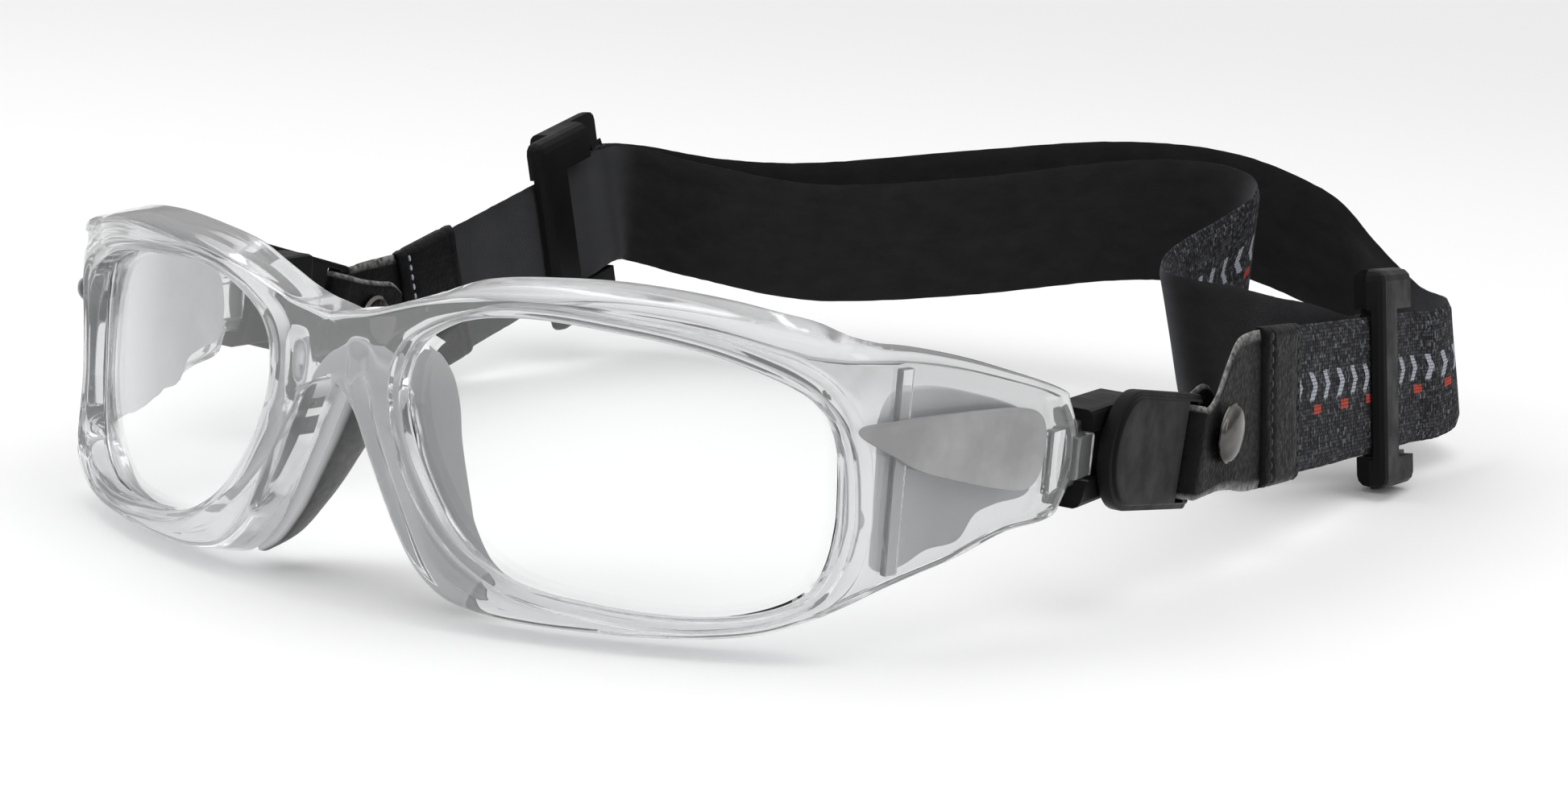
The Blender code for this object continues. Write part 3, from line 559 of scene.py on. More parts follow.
def frame_section(eye, edge):
    """Closed section from the lens opening out to the edge: lens lip, raised ring
    round the lens, sunk field and rounded outer border."""
    span = (edge - eye).length
    out = (edge - eye) / span
    sink = 0.42 * step(span, 4.2, 7.0) * step(edge.x, 14.0, 26.0)
    ring = min(3.3, 0.5 * span)
    border = max(span - 2.7, 0.62 * span)

    def at(run, depth, from_edge=False):
        return eye + out * (span - run if from_edge else run), depth

    rows = [at(0.0, 1.3), at(0.12, 1.0), at(0.4, 0.78), at(0.75, 0.72), at(1.02, 0.66),
            at(1.15, 0.4), at(1.28, 0.12), at(1.5, 0.0)]
    rows += [at(ring - 0.25, 0.0), at(ring, sink * 0.25), at(ring + 0.2, sink * 0.85),
             at(ring + 0.4, sink)]
    first, last = ring + 0.5, border - 0.5
    if last < first:
        first = last = (first + last) / 2
    for k in range(1, MID_ROWS):
        rows.append(at(first + (last - first) * k / MID_ROWS, sink))
    rows += [at(border - 0.4, sink), at(border - 0.15, sink * 0.7), at(border + 0.15, 0.0)]
    soft = 1.0 + step(edge.x, 44.0, 58.0) * (1.0 - 0.6 * step(edge.x, 66.0, 74.0))
    rows += [at(1.25 * soft, 0.0, True), at(0.8 * soft, 0.08 * soft, True),
             at(0.42 * soft, 0.3 * soft, True), at(0.15 * soft, 0.68 * soft, True),
             at(0.0, 1.2 * soft, True)]
    # on a narrow section the rows are kept in order, however little room they have
    ordered = []
    reach = -1.0
    for p, d in rows:
        reach = max((p - eye).length, reach + 0.01)
        ordered.append((eye + out * min(reach, span), d))
    flare = frame_flare(edge.x)
    back = [at(-flare, -1.1, True), at(0.14 - flare, -0.55, True), at(0.5 - flare, -0.16, True),
            at(1.1 - flare, 0.0, True)]
    outer = span - 1.1
    for k in range(MID_ROWS - 1, 0, -1):
        back.append(at(REBATE + (outer - REBATE) * k / MID_ROWS, 0.0))
    back += [at(REBATE + 0.2, 0.0), at(REBATE, 0.2)]
    points = [wrap(p.x, d + ridge(p), p.y) for p, d in ordered]
    for p, d in back:
        points.append(wrap(p.x, frame_depth(p.x) + d, p.y))
    lip = eye + out * REBATE
    deep = min(LIP_DEPTH, frame_depth(lip.x) - 0.8)
    points.append(wrap(lip.x, deep, lip.y))
    points.append(wrap(eye.x, deep, eye.y))
    points.append(wrap(eye.x, deep - 0.5, eye.y))
    return points


def frame_half():
    """The left rim and temple, with its bridge half run on past the middle."""
    eyes = spline([p for p, _ in STATIONS], 6, closed=True)
    edges = spline([q for _, q in STATIONS], 6, closed=True)
    bm = bmesh.new()
    rings = []
    for eye, edge in zip(eyes, edges):
        rings.append([bm.verts.new(p) for p in frame_section(eye, edge)])
    loft(bm, rings + rings[:1])
    return bm


def tongue():
    return brick((TONGUE_X[0], TONGUE_START, EYE_Z - TONGUE_HALF),
                 (TONGUE_X[1], TONGUE_END, EYE_Z + TONGUE_HALF), 0.4)


def catch():
    return brick((TONGUE_X[1] - 0.6, CATCH_Y[0], EYE_Z - CATCH_HALF),
                 (TONGUE_X[1] + 1.5, CATCH_Y[1], EYE_Z + CATCH_HALF), 0.3)


def rib():
    """Upright rib across the outside of the temple, just behind its corner."""
    bar = brick((-1.15, -0.45, -11.0), (1.15, 0.6, 14.2), 0.3)
    stand = Matrix.Translation(wrap(RIB_S, 0.0, 0.0)) @ Matrix.Rotation(CORNER_END, 4, "Z")
    bmesh.ops.transform(bar, matrix=stand, verts=bar.verts)
    return bar


shell = piece("clear_frame", frame_half(), [CLEAR], "goggle_frame",
              38.0, ["front_frame"])
boolean(shell, mirror(frame_half()), "UNION")
for side in (1, -1):
    for part in (tongue, catch, rib):
        boolean(shell, part() if side > 0 else mirror(part()), "UNION")


def lens(name, side):
    """Curved pane that fills the rebate behind the front lip."""
    eyes = spline([p for p, _ in STATIONS], 3, closed=True)
    edges = spline([q for _, q in STATIONS], 3, closed=True)
    rim = []
    for eye, edge in zip(eyes, edges):
        rim.append(eye + (edge - eye).normalized() * (REBATE - GAP))
    middle = sum((p for p in rim), Vector((0, 0))) / len(rim)
    bm = bmesh.new()
    rings = []
    faces = ((LIP_DEPTH + GAP, 1), (LIP_DEPTH + GAP + LENS_T, -1))
    shares = [0.12, 0.25, 0.4, 0.55, 0.7, 0.82, 0.92, 0.985]
    for depth, way in faces:
        rows = [(s, depth) for s in shares] + [(1.0, depth + 0.25 * way)]
        if way < 0:
            rows = rows[::-1]
        for share, at in rows:
            ring = [middle + (p - middle) * share for p in rim]
            rings.append([bm.verts.new(wrap(p.x, at, p.y)) for p in ring])
    loft(bm, rings)
    for ring, depth in ((rings[0], faces[0][0]), (rings[-1], faces[1][0])):
        fan(bm, ring, wrap(middle.x, depth, middle.y))
    if side < 0:
        mirror(bm)
    return piece(name, bm, [LENS], "goggle_frame", 30.0,
                 [name.replace("_pane", "")])


lens("lens_left_pane", 1)
lens("lens_right_pane", -1)


# ------------------------------------------------------------ pads and inserts
def set_tone(obj, values):
    """Store the tone attribute, one value for each vertex."""
    layer = obj.data.attributes.new("tone", "FLOAT", "POINT")
    layer.data.foreach_set("value", values)


def nose_saddle():
    """Padded saddle: a rounded profile swept along an arch behind the bridge."""
    half = [(18.5, -18.4), (15.0, -16.3), (11.8, -12.6), (10.1, -9.9), (8.2, -6.3),
            (6.3, -2.6), (4.7, 1.0), (3.1, 4.2), (1.4, 6.2)]
    arch = [(-s, z) for s, z in half] + [(0.0, 6.8)] + half[::-1]
    coarse = [Vector(p) for p in arch]
    ranks = [min(i, len(arch) - 1 - i) for i in range(len(arch))]
    reaches = [min(1.0, 0.45 + 0.06 * rank + 0.004 * rank ** 2) for rank in ranks]
    fine = spline([(p.x, p.y, r) for p, r in zip(coarse, reaches)], 6)
    profile = spline([(-1.0, 0.1), (-1.3, 2.0), (-1.3, 5.0), (-0.9, 9.5), (-0.3, 12.3),
                      (0.3, 13.7), (0.9, 14.0), (1.5, 13.4), (1.9, 11.4), (2.5, 7.0),
                      (3.0, 3.0), (3.3, 0.6), (3.0, 0.1)], 3)
    bm = bmesh.new()
    rows, tones = [], []
    for i, p in enumerate(fine):
        ahead = fine[min(i + 1, len(fine) - 1)]
        behind = fine[max(i - 1, 0)]
        course = Vector((ahead.x - behind.x, ahead.y - behind.y)).normalized()
        out = Vector((-course.y, course.x))
        row = []
        for shift, run in profile:
            q = Vector((p.x, p.y)) + out * shift
            base = wrap(q.x, RIM_DEPTH + GAP, q.y)
            spot = Vector((base.x, base.y + run * p.z * MM, max(base.z, 0.0012)))
            row.append(bm.verts.new(spot))
            # painted highlight: tone 1 along the front edge, 0.7 along the rear top edge, 0.42
            # down the outer side
            lit_outer_side = 0.42 * step(shift, 0.9, 1.6)
            tones.append(max(1.0 - step(run, 0.9, 1.7), 0.7 * step(run, 13.3, 13.9), lit_outer_side))
        rows.append(row)
    count = len(rows[0])
    for a, b in zip(rows, rows[1:]):
        for k in range(count):
            n = (k + 1) % count
            bm.faces.new((a[k], b[k], b[n], a[n]))
    bm.faces.new(rows[0])
    bm.faces.new(rows[-1])
    obj = piece("nose_saddle", bm, [NOSE], "goggle_frame", 50.0, ["nose_pad"])
    set_tone(obj, tones)
    return obj


nose_saddle()


def slab(name, outline, front, back, mat, node, side, tone=None, roll=0.35):
    """Plate with rounded edges that follows the frame's curve."""
    edge = spline(outline, 6, closed=True)
    middle = sum((p for p in edge), Vector((0, 0))) / len(edge)
    bm = bmesh.new()
    rings, tones = [], []
    plan = [(share, 0.0) for share in (0.1, 0.25, 0.42, 0.6, 0.76, 0.88)]
    plan += [(1.0, roll * (1.0 - sine)) for sine in (0.0, 0.3, 0.75, 1.0)]
    for face, sign in ((front, 1.0), (back, -1.0)):
        for share, inward in (plan if sign > 0 else plan[::-1]):
            lift = 0.0
            if share == 1.0:
                lift = roll * (1.0 - sqrt(max(0.0, 1.0 - ((roll - inward) / roll) ** 2)))
            ring = []
            for p in edge:
                q = middle + (p - middle) * share
                if share == 1.0:
                    q = p - (p - middle).normalized() * inward
                ring.append(bm.verts.new(wrap(q.x, face(q.x) + sign * lift, q.y)))
                tones.append(tone(q, sign) if tone else 0.0)
            rings.append(ring)
    loft(bm, rings)
    for ring, face in ((rings[0], front), (rings[-1], back)):
        fan(bm, ring, wrap(middle.x, face(middle.x), middle.y))
        tones.append(tone(middle, 1.0) if tone else 0.0)
    if side < 0:
        mirror(bm)
    obj = piece(name, bm, [mat], "goggle_frame", 50.0, [node])
    set_tone(obj, tones)
    return obj


INSERT = [(65.8, 7.5), (68.5, 8.0), (76.3, 8.2), (87.0, 8.1), (94.0, 7.8), (97.0, 6.9),
          (98.4, 4.8), (98.5, 1.5), (97.8, -1.0), (96.1, -2.4), (93.6, -2.5), (90.0, -1.9),
          (84.4, -0.7), (75.6, 1.6), (70.8, 3.8), (66.2, 6.2)]
PAD_EDGE = [(72.4, 9.0), (78.4, 11.0), (88.4, 9.5), (98.0, 6.5), (100.9, 2.0), (100.5, -4.0),
            (94.2, -5.0), (90.2, -6.0), (87.2, -9.0), (81.4, -9.5), (76.8, -11.0),
            (72.4, -10.6), (71.4, -3.0)]
for side, word in ((1, "left"), (-1, "right")):
    slab("temple_insert_" + word, INSERT, lambda s: -GAP - 0.5 - 0.75 * step(s, 66.0, 78.0),
         lambda s: -GAP - 0.15, SATIN, "trim_insert_" + word, side, None, 0.16)
    pad = slab("temple_cushion_" + word, PAD_EDGE, lambda s: frame_depth(s) + GAP,
               lambda s: frame_depth(s) + GAP + 1.6, PAD,
               "temple_pad_" + word, side, lambda q, sign: 1.0 - step(q.x, 74.0, 84.0))


# -------------------------------------------------------- clips, links and pins
for word in ("left", "right"):
    for node in ("strap_clip_", "swivel_pin_"):
        paint(node + word, BLACK)


def disc(radius, x0, x1, centre, sides=64, rounding=0.35):
    """Rounded disc along X."""
    bm = bmesh.new()
    profile = [(0.02, x0), (radius - rounding, x0), (radius - rounding * 0.3, x0 + rounding * 0.3),
               (radius, x0 + rounding), (radius, x1 - rounding),
               (radius - rounding * 0.3, x1 - rounding * 0.3), (radius - rounding, x1), (0.02, x1)]
    turned(bm, profile, sides, centre)
    return bm


def swivel_link(word, side, angle):
    """Round-nosed plate: raised outer face inside a stepped border, rear slot."""
    x0, x1 = LINK_X
    outline = []
    half = LINK_H / 2
    for k in range(33):
        a = pi / 2 + pi * k / 32
        outline.append((PIVOT_Y + half * cos(a), PIVOT_Z + half * sin(a)))
    for corner, start in (((LINK_END - 1.2, PIVOT_Z - half + 1.2), -90.0),
                          ((LINK_END - 1.2, PIVOT_Z + half - 1.2), 0.0)):
        for k in range(7):
            a = radians(start + 15 * k)
            outline.append((corner[0] + 1.2 * cos(a), corner[1] + 1.2 * sin(a)))
    bm = bmesh.new()
    rows = [(2.2, x0), (0.35, x0), (0.08, x0 + 0.15), (0.0, x0 + 0.4), (0.0, x1 - 0.75),
            (0.06, x1 - 0.58), (0.25, x1 - 0.5), (0.62, x1 - 0.46), (0.74, x1 - 0.4),
            (0.8, x1 - 0.2), (0.95, x1 - 0.05), (1.2, x1), (2.2, x1)]
    rings = []
    for inset, x in rows:
        ring = []
        for i, p in enumerate(outline):
            a, b = Vector(outline[i - 1]), Vector(outline[(i + 1) % len(outline)])
            normal = Vector(((b - a).y, -(b - a).x)).normalized()
            q = Vector(p) - normal * inset
            ring.append(bm.verts.new(Vector((x, q.x, q.y)) * MM))
        rings.append(ring)
    loft(bm, rings)
    cap(bm, rings)
    turn = (Matrix.Translation(Vector((0, PIVOT_Y, PIVOT_Z)) * MM)
            @ Matrix.Rotation(radians(-angle), 4, "X")
            @ Matrix.Translation(Vector((0, -PIVOT_Y, -PIVOT_Z)) * MM))
    obj = piece("link_plate_" + word, bm, [BLACK], "link_" + word, 45.0,
                ["swivel_link_" + word])
    slot = brick((60.0, SLOT_Y[0], PIVOT_Z - 7.0), (90.0, SLOT_Y[1], PIVOT_Z + 7.0))
    boolean(obj, slot, "DIFFERENCE")
    boolean(obj, disc(2.3, 60.0, x1 - 0.8, (PIVOT_Y, PIVOT_Z), 40, 0.1), "DIFFERENCE")
    obj.data.transform(turn)
    return flip(obj) if side < 0 else obj


swivel_link("left", 1, TILT_LEFT)
swivel_link("right", -1, TILT_RIGHT)


# --------------------------------------------------------------- bands of cloth
def band(name, stations, thick, steps, mats, body, node, outer, tone_edge=False,
         wobble=0.0):
    """Webbing or leather as a closed strip. Station: x, y, z, height, lean_x,
    lean_y. outer is 1 where the woven face lies to the right of the run."""
    line = spline(stations, steps)
    bm = bmesh.new()
    weave = bm.loops.layers.uv.new("weave")
    across = 14
    half_t = thick / 2
    loops, places, tones = [], [], []
    length = 0.0
    for i, p in enumerate(line):
        ahead = line[min(i + 1, len(line) - 1)]
        behind = line[max(i - 1, 0)]
        course = Vector(ahead[:3]) - Vector(behind[:3])
        if i:
            length += (Vector(p[:3]) - Vector(line[i - 1][:3])).length
        up = Vector((p[4], p[5], 1.0)).normalized()
        side = course.cross(up).normalized() * outer
        middle = Vector(p[:3])
        ring, spots = [], []
        for face in (1, -1):
            order = range(across + 1) if face > 0 else range(across, -1, -1)
            for k in order:
                v = (k / across - 0.5) * 2
                shift = half_t * sqrt(max(0.0, 1.0 - max(0.0, (abs(v) - 0.95) / 0.05) ** 2))
                shift = max(shift, half_t * 0.12)
                run = v * p[3] / 2
                ripple = 0.0
                edge_out = 0.0
                if wobble:
                    seed = Vector((length * 0.11, v * 0.8, 3.7 * (len(name) % 5)))
                    ripple = wobble * noise.noise(seed)
                    fray = Vector((length * 0.8, 9.0 * (1 if v > 0 else -1), 1.3))
                    edge_out = wobble * 0.4 * noise.noise(fray) * step(abs(v), 0.6, 1.0)
                    edge_out *= 1 if v > 0 else -1
                spot = middle + up * (run + edge_out) + side * (shift * face + ripple)
                ring.append(bm.verts.new(spot * MM))
                spots.append((length, v * p[3] / 2))
                tones.append(1.0 if tone_edge and abs(v) > 0.985 else 0.0)
        loops.append(ring)
        places.append(spots)
    count = len(loops[0])
    for i in range(len(loops) - 1):
        for k in range(count):
            n = (k + 1) % count
            face = bm.faces.new((loops[i][k], loops[i][n], loops[i + 1][n], loops[i + 1][k]))
            face.material_index = 0 if k <= across else min(1, len(mats) - 1)
            marks = (places[i][k], places[i][n], places[i + 1][n], places[i + 1][k])
            for corner, spot in zip(face.loops, marks):
                corner[weave].uv = spot
    for ring, spots in ((loops[0], places[0]), (loops[-1], places[-1])):
        face = bm.faces.new(ring)
        for corner, spot in zip(face.loops, spots):
            corner[weave].uv = spot
    obj = piece(name, bm, mats, body, 60.0, [node])
    set_tone(obj, tones)
    return obj


def loop_centre(angle):
    """Middle of the leather's fold, round the link's rear bar."""
    run = SLOT_Y[1] + 1.2 - PIVOT_Y
    a = radians(angle)
    return sum(LINK_X) / 2, PIVOT_Y + run * cos(a), PIVOT_Z - run * sin(a)


def leather_tab(word, side, angle, wide, rivet, lean, slope):
    """Leather strip doubled round the link's rear bar. wide lists y, z and height
    of its outer leg, from the strap forwards."""
    x, y, z = loop_centre(angle)
    tilt = radians(angle)
    r = LEATHER_LOOP_R
    outer = []
    for k, (at_y, at_z, height) in enumerate(wide):
        share = 1.0 - k / len(wide)
        rake = tilt * (1.0 - share) - radians(slope) * share
        outer.append((x + r, at_y, at_z, height, radians(lean) * share, rake))
    turn = []
    for k in range(7):
        a = pi * k / 6
        ahead = r * sin(a)
        turn.append((x + r * cos(a), y - ahead * cos(tilt), z + ahead * sin(tilt), 13.0, 0.0,
                     tilt))
    drop_z = rivet[1] - z
    inner = [(x - r, 99.5, z + drop_z * 0.5, 11.8, 0.0, tilt * 0.6),
             (x - r, 104.5, z + drop_z, 11.4, 0.0, 0.0),
             (x - r, 108.0, z + drop_z, 10.4, 0.0, 0.0),
             (x - r, 110.5, z + drop_z, 7.0, 0.0, 0.0)]
    obj = band("leather_loop_" + word, outer + turn + inner, LEATHER_T, 6, [LEATHER],
               "tab_" + word, "leather_tab_" + word, -1, True, 0.12)
    boolean(obj, disc(1.8, 60.0, 90.0, rivet, 32, 0.1), "DIFFERENCE")
    return flip(obj) if side < 0 else obj


WIDE_LEFT = [(118.0, 20.9, 23.0), (112.0, 21.2, 22.6), (107.0, 21.5, 21.2),
             (103.5, 20.7, 18.8), (101.0, 19.4, 16.2), (98.8, 18.4, 14.4)]
WIDE_RIGHT = [(118.2, 11.9, 22.8), (112.0, 11.6, 22.4), (107.0, 11.9, 21.0),
              (103.5, 12.7, 18.6), (101.0, 13.9, 16.2), (98.8, 14.7, 14.4)]


def rivet(word, side, centre):
    """Domed cap with a rolled rim, and its shank."""
    base = sum(LINK_X) / 2 + LEATHER_LOOP_R + LEATHER_T / 2 + GAP + 0.35
    profile = [(1.45, -4.9), (1.45, 0.0), (RIVET_R - 0.25, 0.0), (RIVET_R, 0.2),
               (RIVET_R - 0.02, 0.42), (RIVET_R - 0.25, 0.6)]
    for k in range(1, 11):
        a = (pi / 2) * k / 10
        profile.append(((RIVET_R - 0.3) * cos(a) + 0.02, 0.6 + 1.05 * sin(a)))
    bm = bmesh.new()
    turned(bm, profile, 56, centre, base)
    if side < 0:
        mirror(bm)
    return piece("rivet_dome_" + word, bm, [METAL], "tab_" + word, 40.0,
                 ["rivet_cap_" + word])


def stitches(name, points, across, radius, mat, body):
    """Row of short stitches: a capsule at each point, lying along across."""
    bm = bmesh.new()
    for point in points:
        grid = bmesh.ops.create_uvsphere(bm, u_segments=10, v_segments=6, radius=radius * MM)
        lie = Vector(across).normalized().to_track_quat("Z", "Y").to_matrix().to_4x4()
        stretch = Matrix.Diagonal((0.8, 1.0, 2.1, 1.0))
        bmesh.ops.transform(bm, matrix=Matrix.Translation(Vector(point) * MM) @ lie @ stretch,
                            verts=grid["verts"])
    return piece(name, bm, [mat], body, 60.0)


ROLL_OVERLAP = 0.65           # how far the rolled edging laps over the strap and the tab
STITCH_IN = 1.6               # from the edging's nominal side to its row of stitches
STITCH_OUT = 1.38             # from the edging's middle plane to the thread
STITCH_R = 0.26
STITCHES = 13
STITCH_LOW = -10.2            # lowest stitch, from the edging's middle
STITCH_PITCH = 1.7


def binding(word, side, slope, lean, middle):
    """Rolled leather edging with sewn grooves down both sides."""
    length = BINDING_Y[1] - BINDING_Y[0]
    bm = bmesh.new()
    rings = []
    tall, sides = 44, 48
    for j in range(tall + 1):
        v = (j / tall - 0.5) * 2
        high = 11.6 * v + 0.1 * noise.noise(Vector((v * 3.0, 5.1, 0.0)))
        taper = 1.0 - 0.55 * step(abs(v), 0.93, 1.0)
        ring = []
        for k in range(sides):
            a = 2 * pi * k / sides
            c, s = cos(a), sin(a)
            across = (abs(c) ** 0.35) * (1 if c > 0 else -1) * (length / 2 + ROLL_OVERLAP)
            thick = (abs(s) ** 0.55) * (1 if s > 0 else -1) * 1.62 * taper
            seam = 0.3 * (1.0 - step(abs(abs(across) - length / 2 + STITCH_IN), 0.1, 0.6))
            lump = 0.14 * noise.noise(Vector((across * 0.5, high * 0.35, 2.0 * s)))
            thick = thick + (lump - seam) * (1 if s > 0 else -1) * min(1.0, abs(s) * 2)
            ring.append(bm.verts.new(Vector((thick, across, high)) * MM))
        rings.append(ring)
    loft(bm, rings)
    cap(bm, rings)
    place = (Matrix.Translation(Vector((STRAP_X, sum(BINDING_Y) / 2, middle)) * MM)
             @ Matrix.Rotation(radians(slope), 4, "X") @ Matrix.Rotation(radians(lean), 4, "Y"))
    bmesh.ops.transform(bm, matrix=place, verts=bm.verts)
    if side < 0:
        mirror(bm)
    obj = piece("binding_roll_" + word, bm, [LEATHER], "tab_" + word, 60.0,
                ["leather_binding_" + word])
    set_tone(obj, [0.0] * len(obj.data.vertices))
    upright = place.to_3x3() @ Vector((0, 0, 1))
    for at, face, mat, tag in ((-length / 2 + STITCH_IN, 1, DARK_THREAD, "front"),
                               (length / 2 - STITCH_IN, 1, DARK_THREAD, "rear"),
                               (-length / 2 + STITCH_IN, -1, PALE_THREAD, "inner")):
        spots = []
        for k in range(STITCHES):
            high = STITCH_LOW + STITCH_PITCH * k
            spot = place @ (Vector((STITCH_OUT * face, at, high)) * MM)
            spots.append(Vector((spot.x * side, spot.y, spot.z)) / MM)
        stitches("stitches_" + word + "_" + tag, spots,
                 (upright.x * side, upright.y, upright.z), STITCH_R, mat, "tab_" + word)
    return obj


for word, side, angle, wide, spot, lean, slope, middle in (
        ("left", 1, TILT_LEFT, WIDE_LEFT, RIVET_LEFT, LEAN_LEFT * 0.8, SLOPE_LEFT, 20.6),
        ("right", -1, TILT_RIGHT, WIDE_RIGHT, RIVET_RIGHT, -LEAN_RIGHT, SLOPE_RIGHT, 13.7)):
    leather_tab(word, side, angle, wide, spot, lean, slope)
    rivet(word, side, spot)
    paint("rivet_back_" + word, METAL)
    binding(word, side, slope, lean, middle)


# ------------------------------------------------------------ sliders and straps
for word in ("left", "right"):
    paint("strap_slider_" + word, BLACK)


def along(place, slope, lean, run, shift):
    """Strap station in a slider's own axes: run rearwards and shift outwards."""
    turn = Matrix.Rotation(radians(slope), 3, "X") @ Matrix.Rotation(radians(lean), 3, "Y")
    p = Vector(place) + turn @ Vector((shift, run, 0.0))
    up = turn @ Vector((0.0, 0.0, 1.0))
    return (p.x, p.y, p.z, STRAP_W, up.x / up.z, up.y / up.z)


def free(x, y, z, lean_x=0.0, lean_y=0.0):
    """Strap station given in the scene's axes."""
    return (x, y, z, STRAP_W, lean_x, lean_y)


def lowered(station, drop_by):
    """The same station, moved down."""
    x, y, z, *rest = station
    return (x, y, z - drop_by, *rest)


def on_left(run, shift):
    return along(SLIDER_LEFT, SLOPE_LEFT, LEAN_LEFT, run, shift)


def on_right(run, shift):
    return along(SLIDER_RIGHT, SLOPE_RIGHT, LEAN_RIGHT, run, shift)


left_line = [on_left(run, 0.0) for run in (-49.2, -34.0, -14.0, 4.0, 14.0)]
left_line += [free(77.4, 207.0, 15.8, -0.16), free(76.8, 218.0, 16.6, -0.2, -0.05),
              free(69.5, 229.0, 17.8, -0.3, -0.22), free(58.0, 233.0, 23.8, -0.12, -0.25),
              free(46.5, 232.5, 31.0, 0.0, -0.08), free(28.5, 228.5, 36.2),
              free(7.0, 223.5, 36.0), free(-20.0, 217.5, 31.4), free(-48.0, 209.5, 26.2),
              free(-66.0, 204.5, 25.0), free(-78.5, 198.5, 26.2, -0.05),
              lowered(on_right(21.5, -6.3), 2.0), lowered(on_right(12.5, -6.3), 0.8),
              on_right(4.5, -6.3)]
right_line = [on_right(run, 0.0) for run in (-37.0, -24.0, -8.0, 4.0, 12.0)]
right_line += [free(-74.4, 188.0, 27.0, -0.04), free(-64.0, 194.0, 24.8),
               free(-40.0, 197.0, 23.6), free(-12.0, 202.0, 28.0), free(14.0, 209.0, 33.8),
               free(28.0, 213.5, 35.2), free(37.5, 213.0, 34.2), free(42.0, 205.0, 31.6),
               free(42.5, 190.0, 28.2, -0.08), free(44.5, 168.0, 25.4, -0.24),
               free(48.5, 154.5, 23.8, -0.3),
               free(54.0, 152.0, 22.8, -0.26), free(58.5, 158.5, 21.4, -0.14),
               free(61.5, 166.0, 19.6, -0.08), free(65.5, 174.5, 18.2, -0.12),
               on_left(0.0, -6.9), on_left(7.5, -6.6)]
webbing_left = band("elastic_left", left_line, STRAP_T, 14, [WOVEN, VELOUR], None,
                    "strap_left", 1, False, 0.22)
webbing_right = band("elastic_right", right_line, STRAP_T, 14, [WOVEN, VELOUR], None,
                     "strap_right", -1, False, 0.22)


def sewn_end(word, place, slope, lean, rearward, outer):
    """End of the other elastic, folded round the slider's rear bar."""
    bar = SLIDER_L / 2 - 1.3
    shift = -3.05
    turn = []
    for k in range(7):
        a = pi * min(k / 6, 0.9999)
        reach = (1.3 + GAP + 0.6) * sin(a) ** 0.6
        off = (0.85 + GAP + 0.55) * abs(cos(a)) ** 0.6 * (1 if k < 3 else -1)
        if rearward:
            turn.append((bar - reach, shift - off))
        else:
            turn.append((bar + reach, shift - off))
    if rearward:
        route = [(bar + 7.8, -4.75), (bar + 4.3, -4.75)] + turn + [(bar + 4.3, -1.35)]
    else:
        route = [(bar - 9.1, -4.85), (bar - 4.2, -4.75)] + turn + [(bar - 4.2, -1.35)]
    stations = [along(place, slope, lean, run, across) for run, across in route]
    return band("elastic_end_" + word, stations, 0.9, 5, [PLAIN_WEAVE], "slider_" + word,
                "strap_end_" + word, outer)


sewn_end("left", SLIDER_LEFT, SLOPE_LEFT, LEAN_LEFT, False, 1)
sewn_end("right", SLIDER_RIGHT, SLOPE_RIGHT, LEAN_RIGHT, True, 1)

# bake each elastic's placement into its mesh
for word, obj, place, slope, near, far in (
        ("left", webbing_left, SLIDER_LEFT, SLOPE_LEFT, -49.2, -31.0),
        ("right", webbing_right, SLIDER_RIGHT, SLOPE_RIGHT, -37.0, -25.5)):
    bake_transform(obj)


# ------------------------------------------------------------------------- stage
def floor():
    """Pale floor at the height of the object's lowest point."""
    bm = bmesh.new()
    bmesh.ops.create_grid(bm, x_segments=1, y_segments=1, size=6.0)
    mesh = bpy.data.meshes.new("floor")
    bm.to_mesh(mesh)
    bm.free()
    obj = bpy.data.objects.new("floor", mesh)
    obj.location = (0.0, 0.0, CAD_BOX[0][2])
    bpy.context.scene.collection.objects.link(obj)
    f = Finish("pale_floor", (0.93, 0.93, 0.93), 0.85, Specular_IOR_Level=0.1)
    mesh.materials.append(f.mat)


floor()


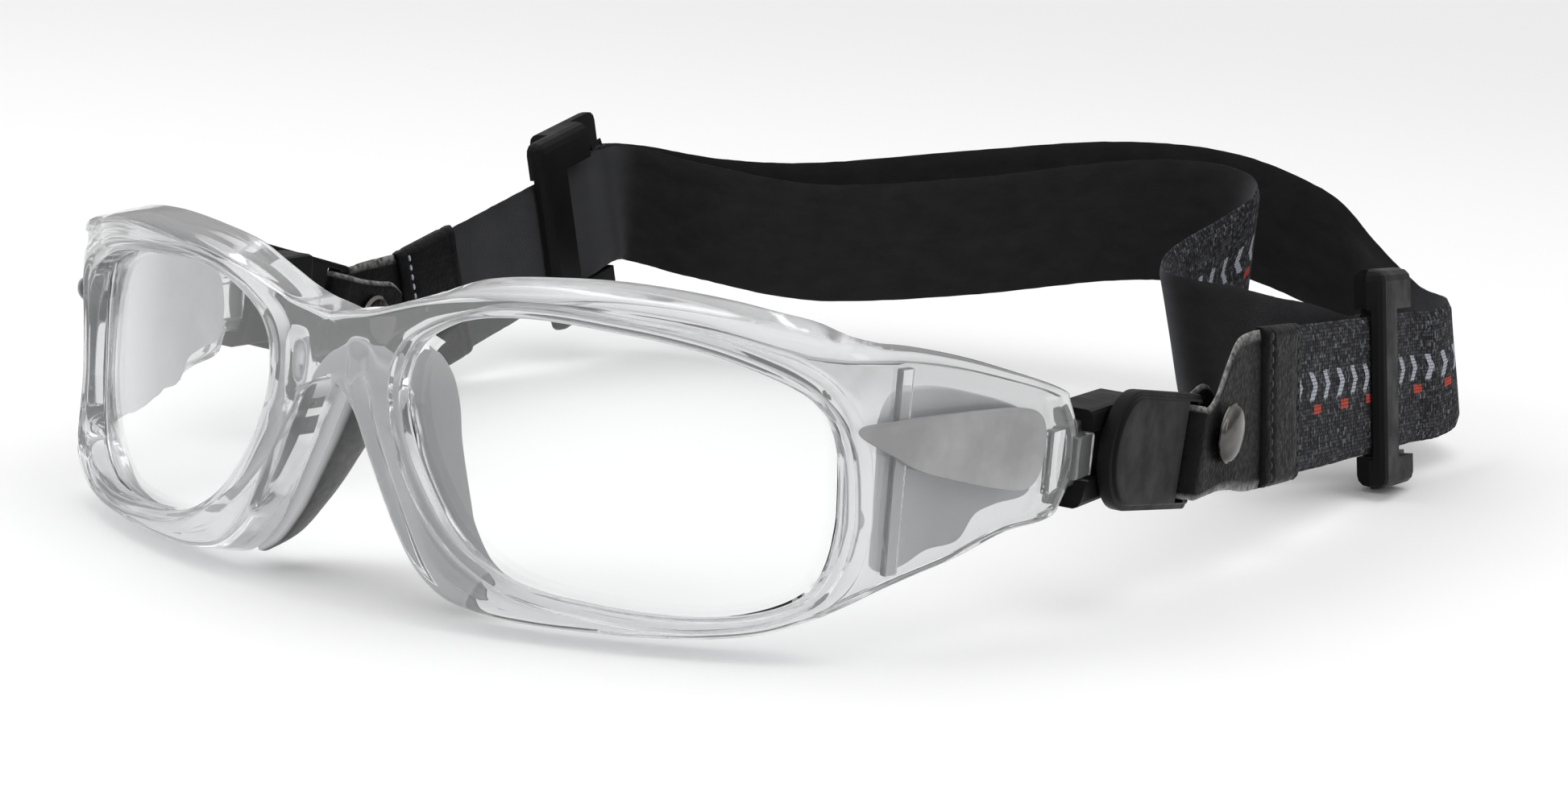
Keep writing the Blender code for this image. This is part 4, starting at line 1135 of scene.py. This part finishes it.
def area_light(name, spot, target, size, power):
    """Rectangular lamp at spot that faces target."""
    data = bpy.data.lights.new(name, "AREA")
    data.shape = "RECTANGLE"
    data.size, data.size_y = size
    data.energy = power
    lamp = bpy.data.objects.new(name, data)
    lamp.location = spot
    aim = Vector(target) - Vector(spot)
    lamp.rotation_euler = aim.to_track_quat("-Z", "Y").to_euler()
    bpy.context.scene.collection.objects.link(lamp)


area_light("overhead", (0.05, 0.05, 0.9), (0.0, 0.1, 0.0), (0.9, 0.9), 1.6)
area_light("key", (-0.55, -0.55, 0.55), (0.0, 0.08, 0.02), (0.45, 0.35), 1.6)
area_light("side", (0.75, -0.05, 0.35), (0.0, 0.1, 0.02), (0.18, 0.5), 0.4)

# soft studio sky, darker at the horizon than overhead
world = bpy.data.worlds.new("studio")
world.use_nodes = True
bpy.context.scene.world = world
tree = world.node_tree
background = tree.nodes["Background"]
sky = tree.nodes.new("ShaderNodeTexCoord")
split = tree.nodes.new("ShaderNodeSeparateXYZ")
tree.links.new(sky.outputs["Generated"], split.inputs[0])
shade = tree.nodes.new("ShaderNodeMapRange")
tree.links.new(split.outputs["Z"], shade.inputs["Value"])
shade.inputs["From Min"].default_value = 0.0
shade.inputs["From Max"].default_value = 0.75
shade.inputs["To Min"].default_value = 0.3
shade.inputs["To Max"].default_value = 1.0
tree.links.new(shade.outputs[0], background.inputs["Color"])
background.inputs["Strength"].default_value = 1.05

scene = bpy.context.scene
scene.view_settings.view_transform = "Standard"

# camera at the photograph's viewing angle: back points from the object to the camera
CAMERA_AT = (0.20118, -0.257614, 0.090413)
FOCAL_MM = 63.13
SENSOR_MM = 36.0
back = Vector((0.466411, -0.864664, 0.186594))
up = Vector((-0.159055, 0.125526, 0.979257))
right = up.cross(back).normalized()
up = back.cross(right).normalized()
back.normalize()
turn = Matrix((right, up, back)).transposed().to_4x4()
lens_data = bpy.data.cameras.new("camera")
lens_data.sensor_width = SENSOR_MM
lens_data.lens = FOCAL_MM
lens_data.clip_start = 0.01
lens_data.clip_end = 50.0
camera = bpy.data.objects.new("camera", lens_data)
camera.matrix_world = Matrix.Translation(CAMERA_AT) @ turn
scene.collection.objects.link(camera)
scene.camera = camera
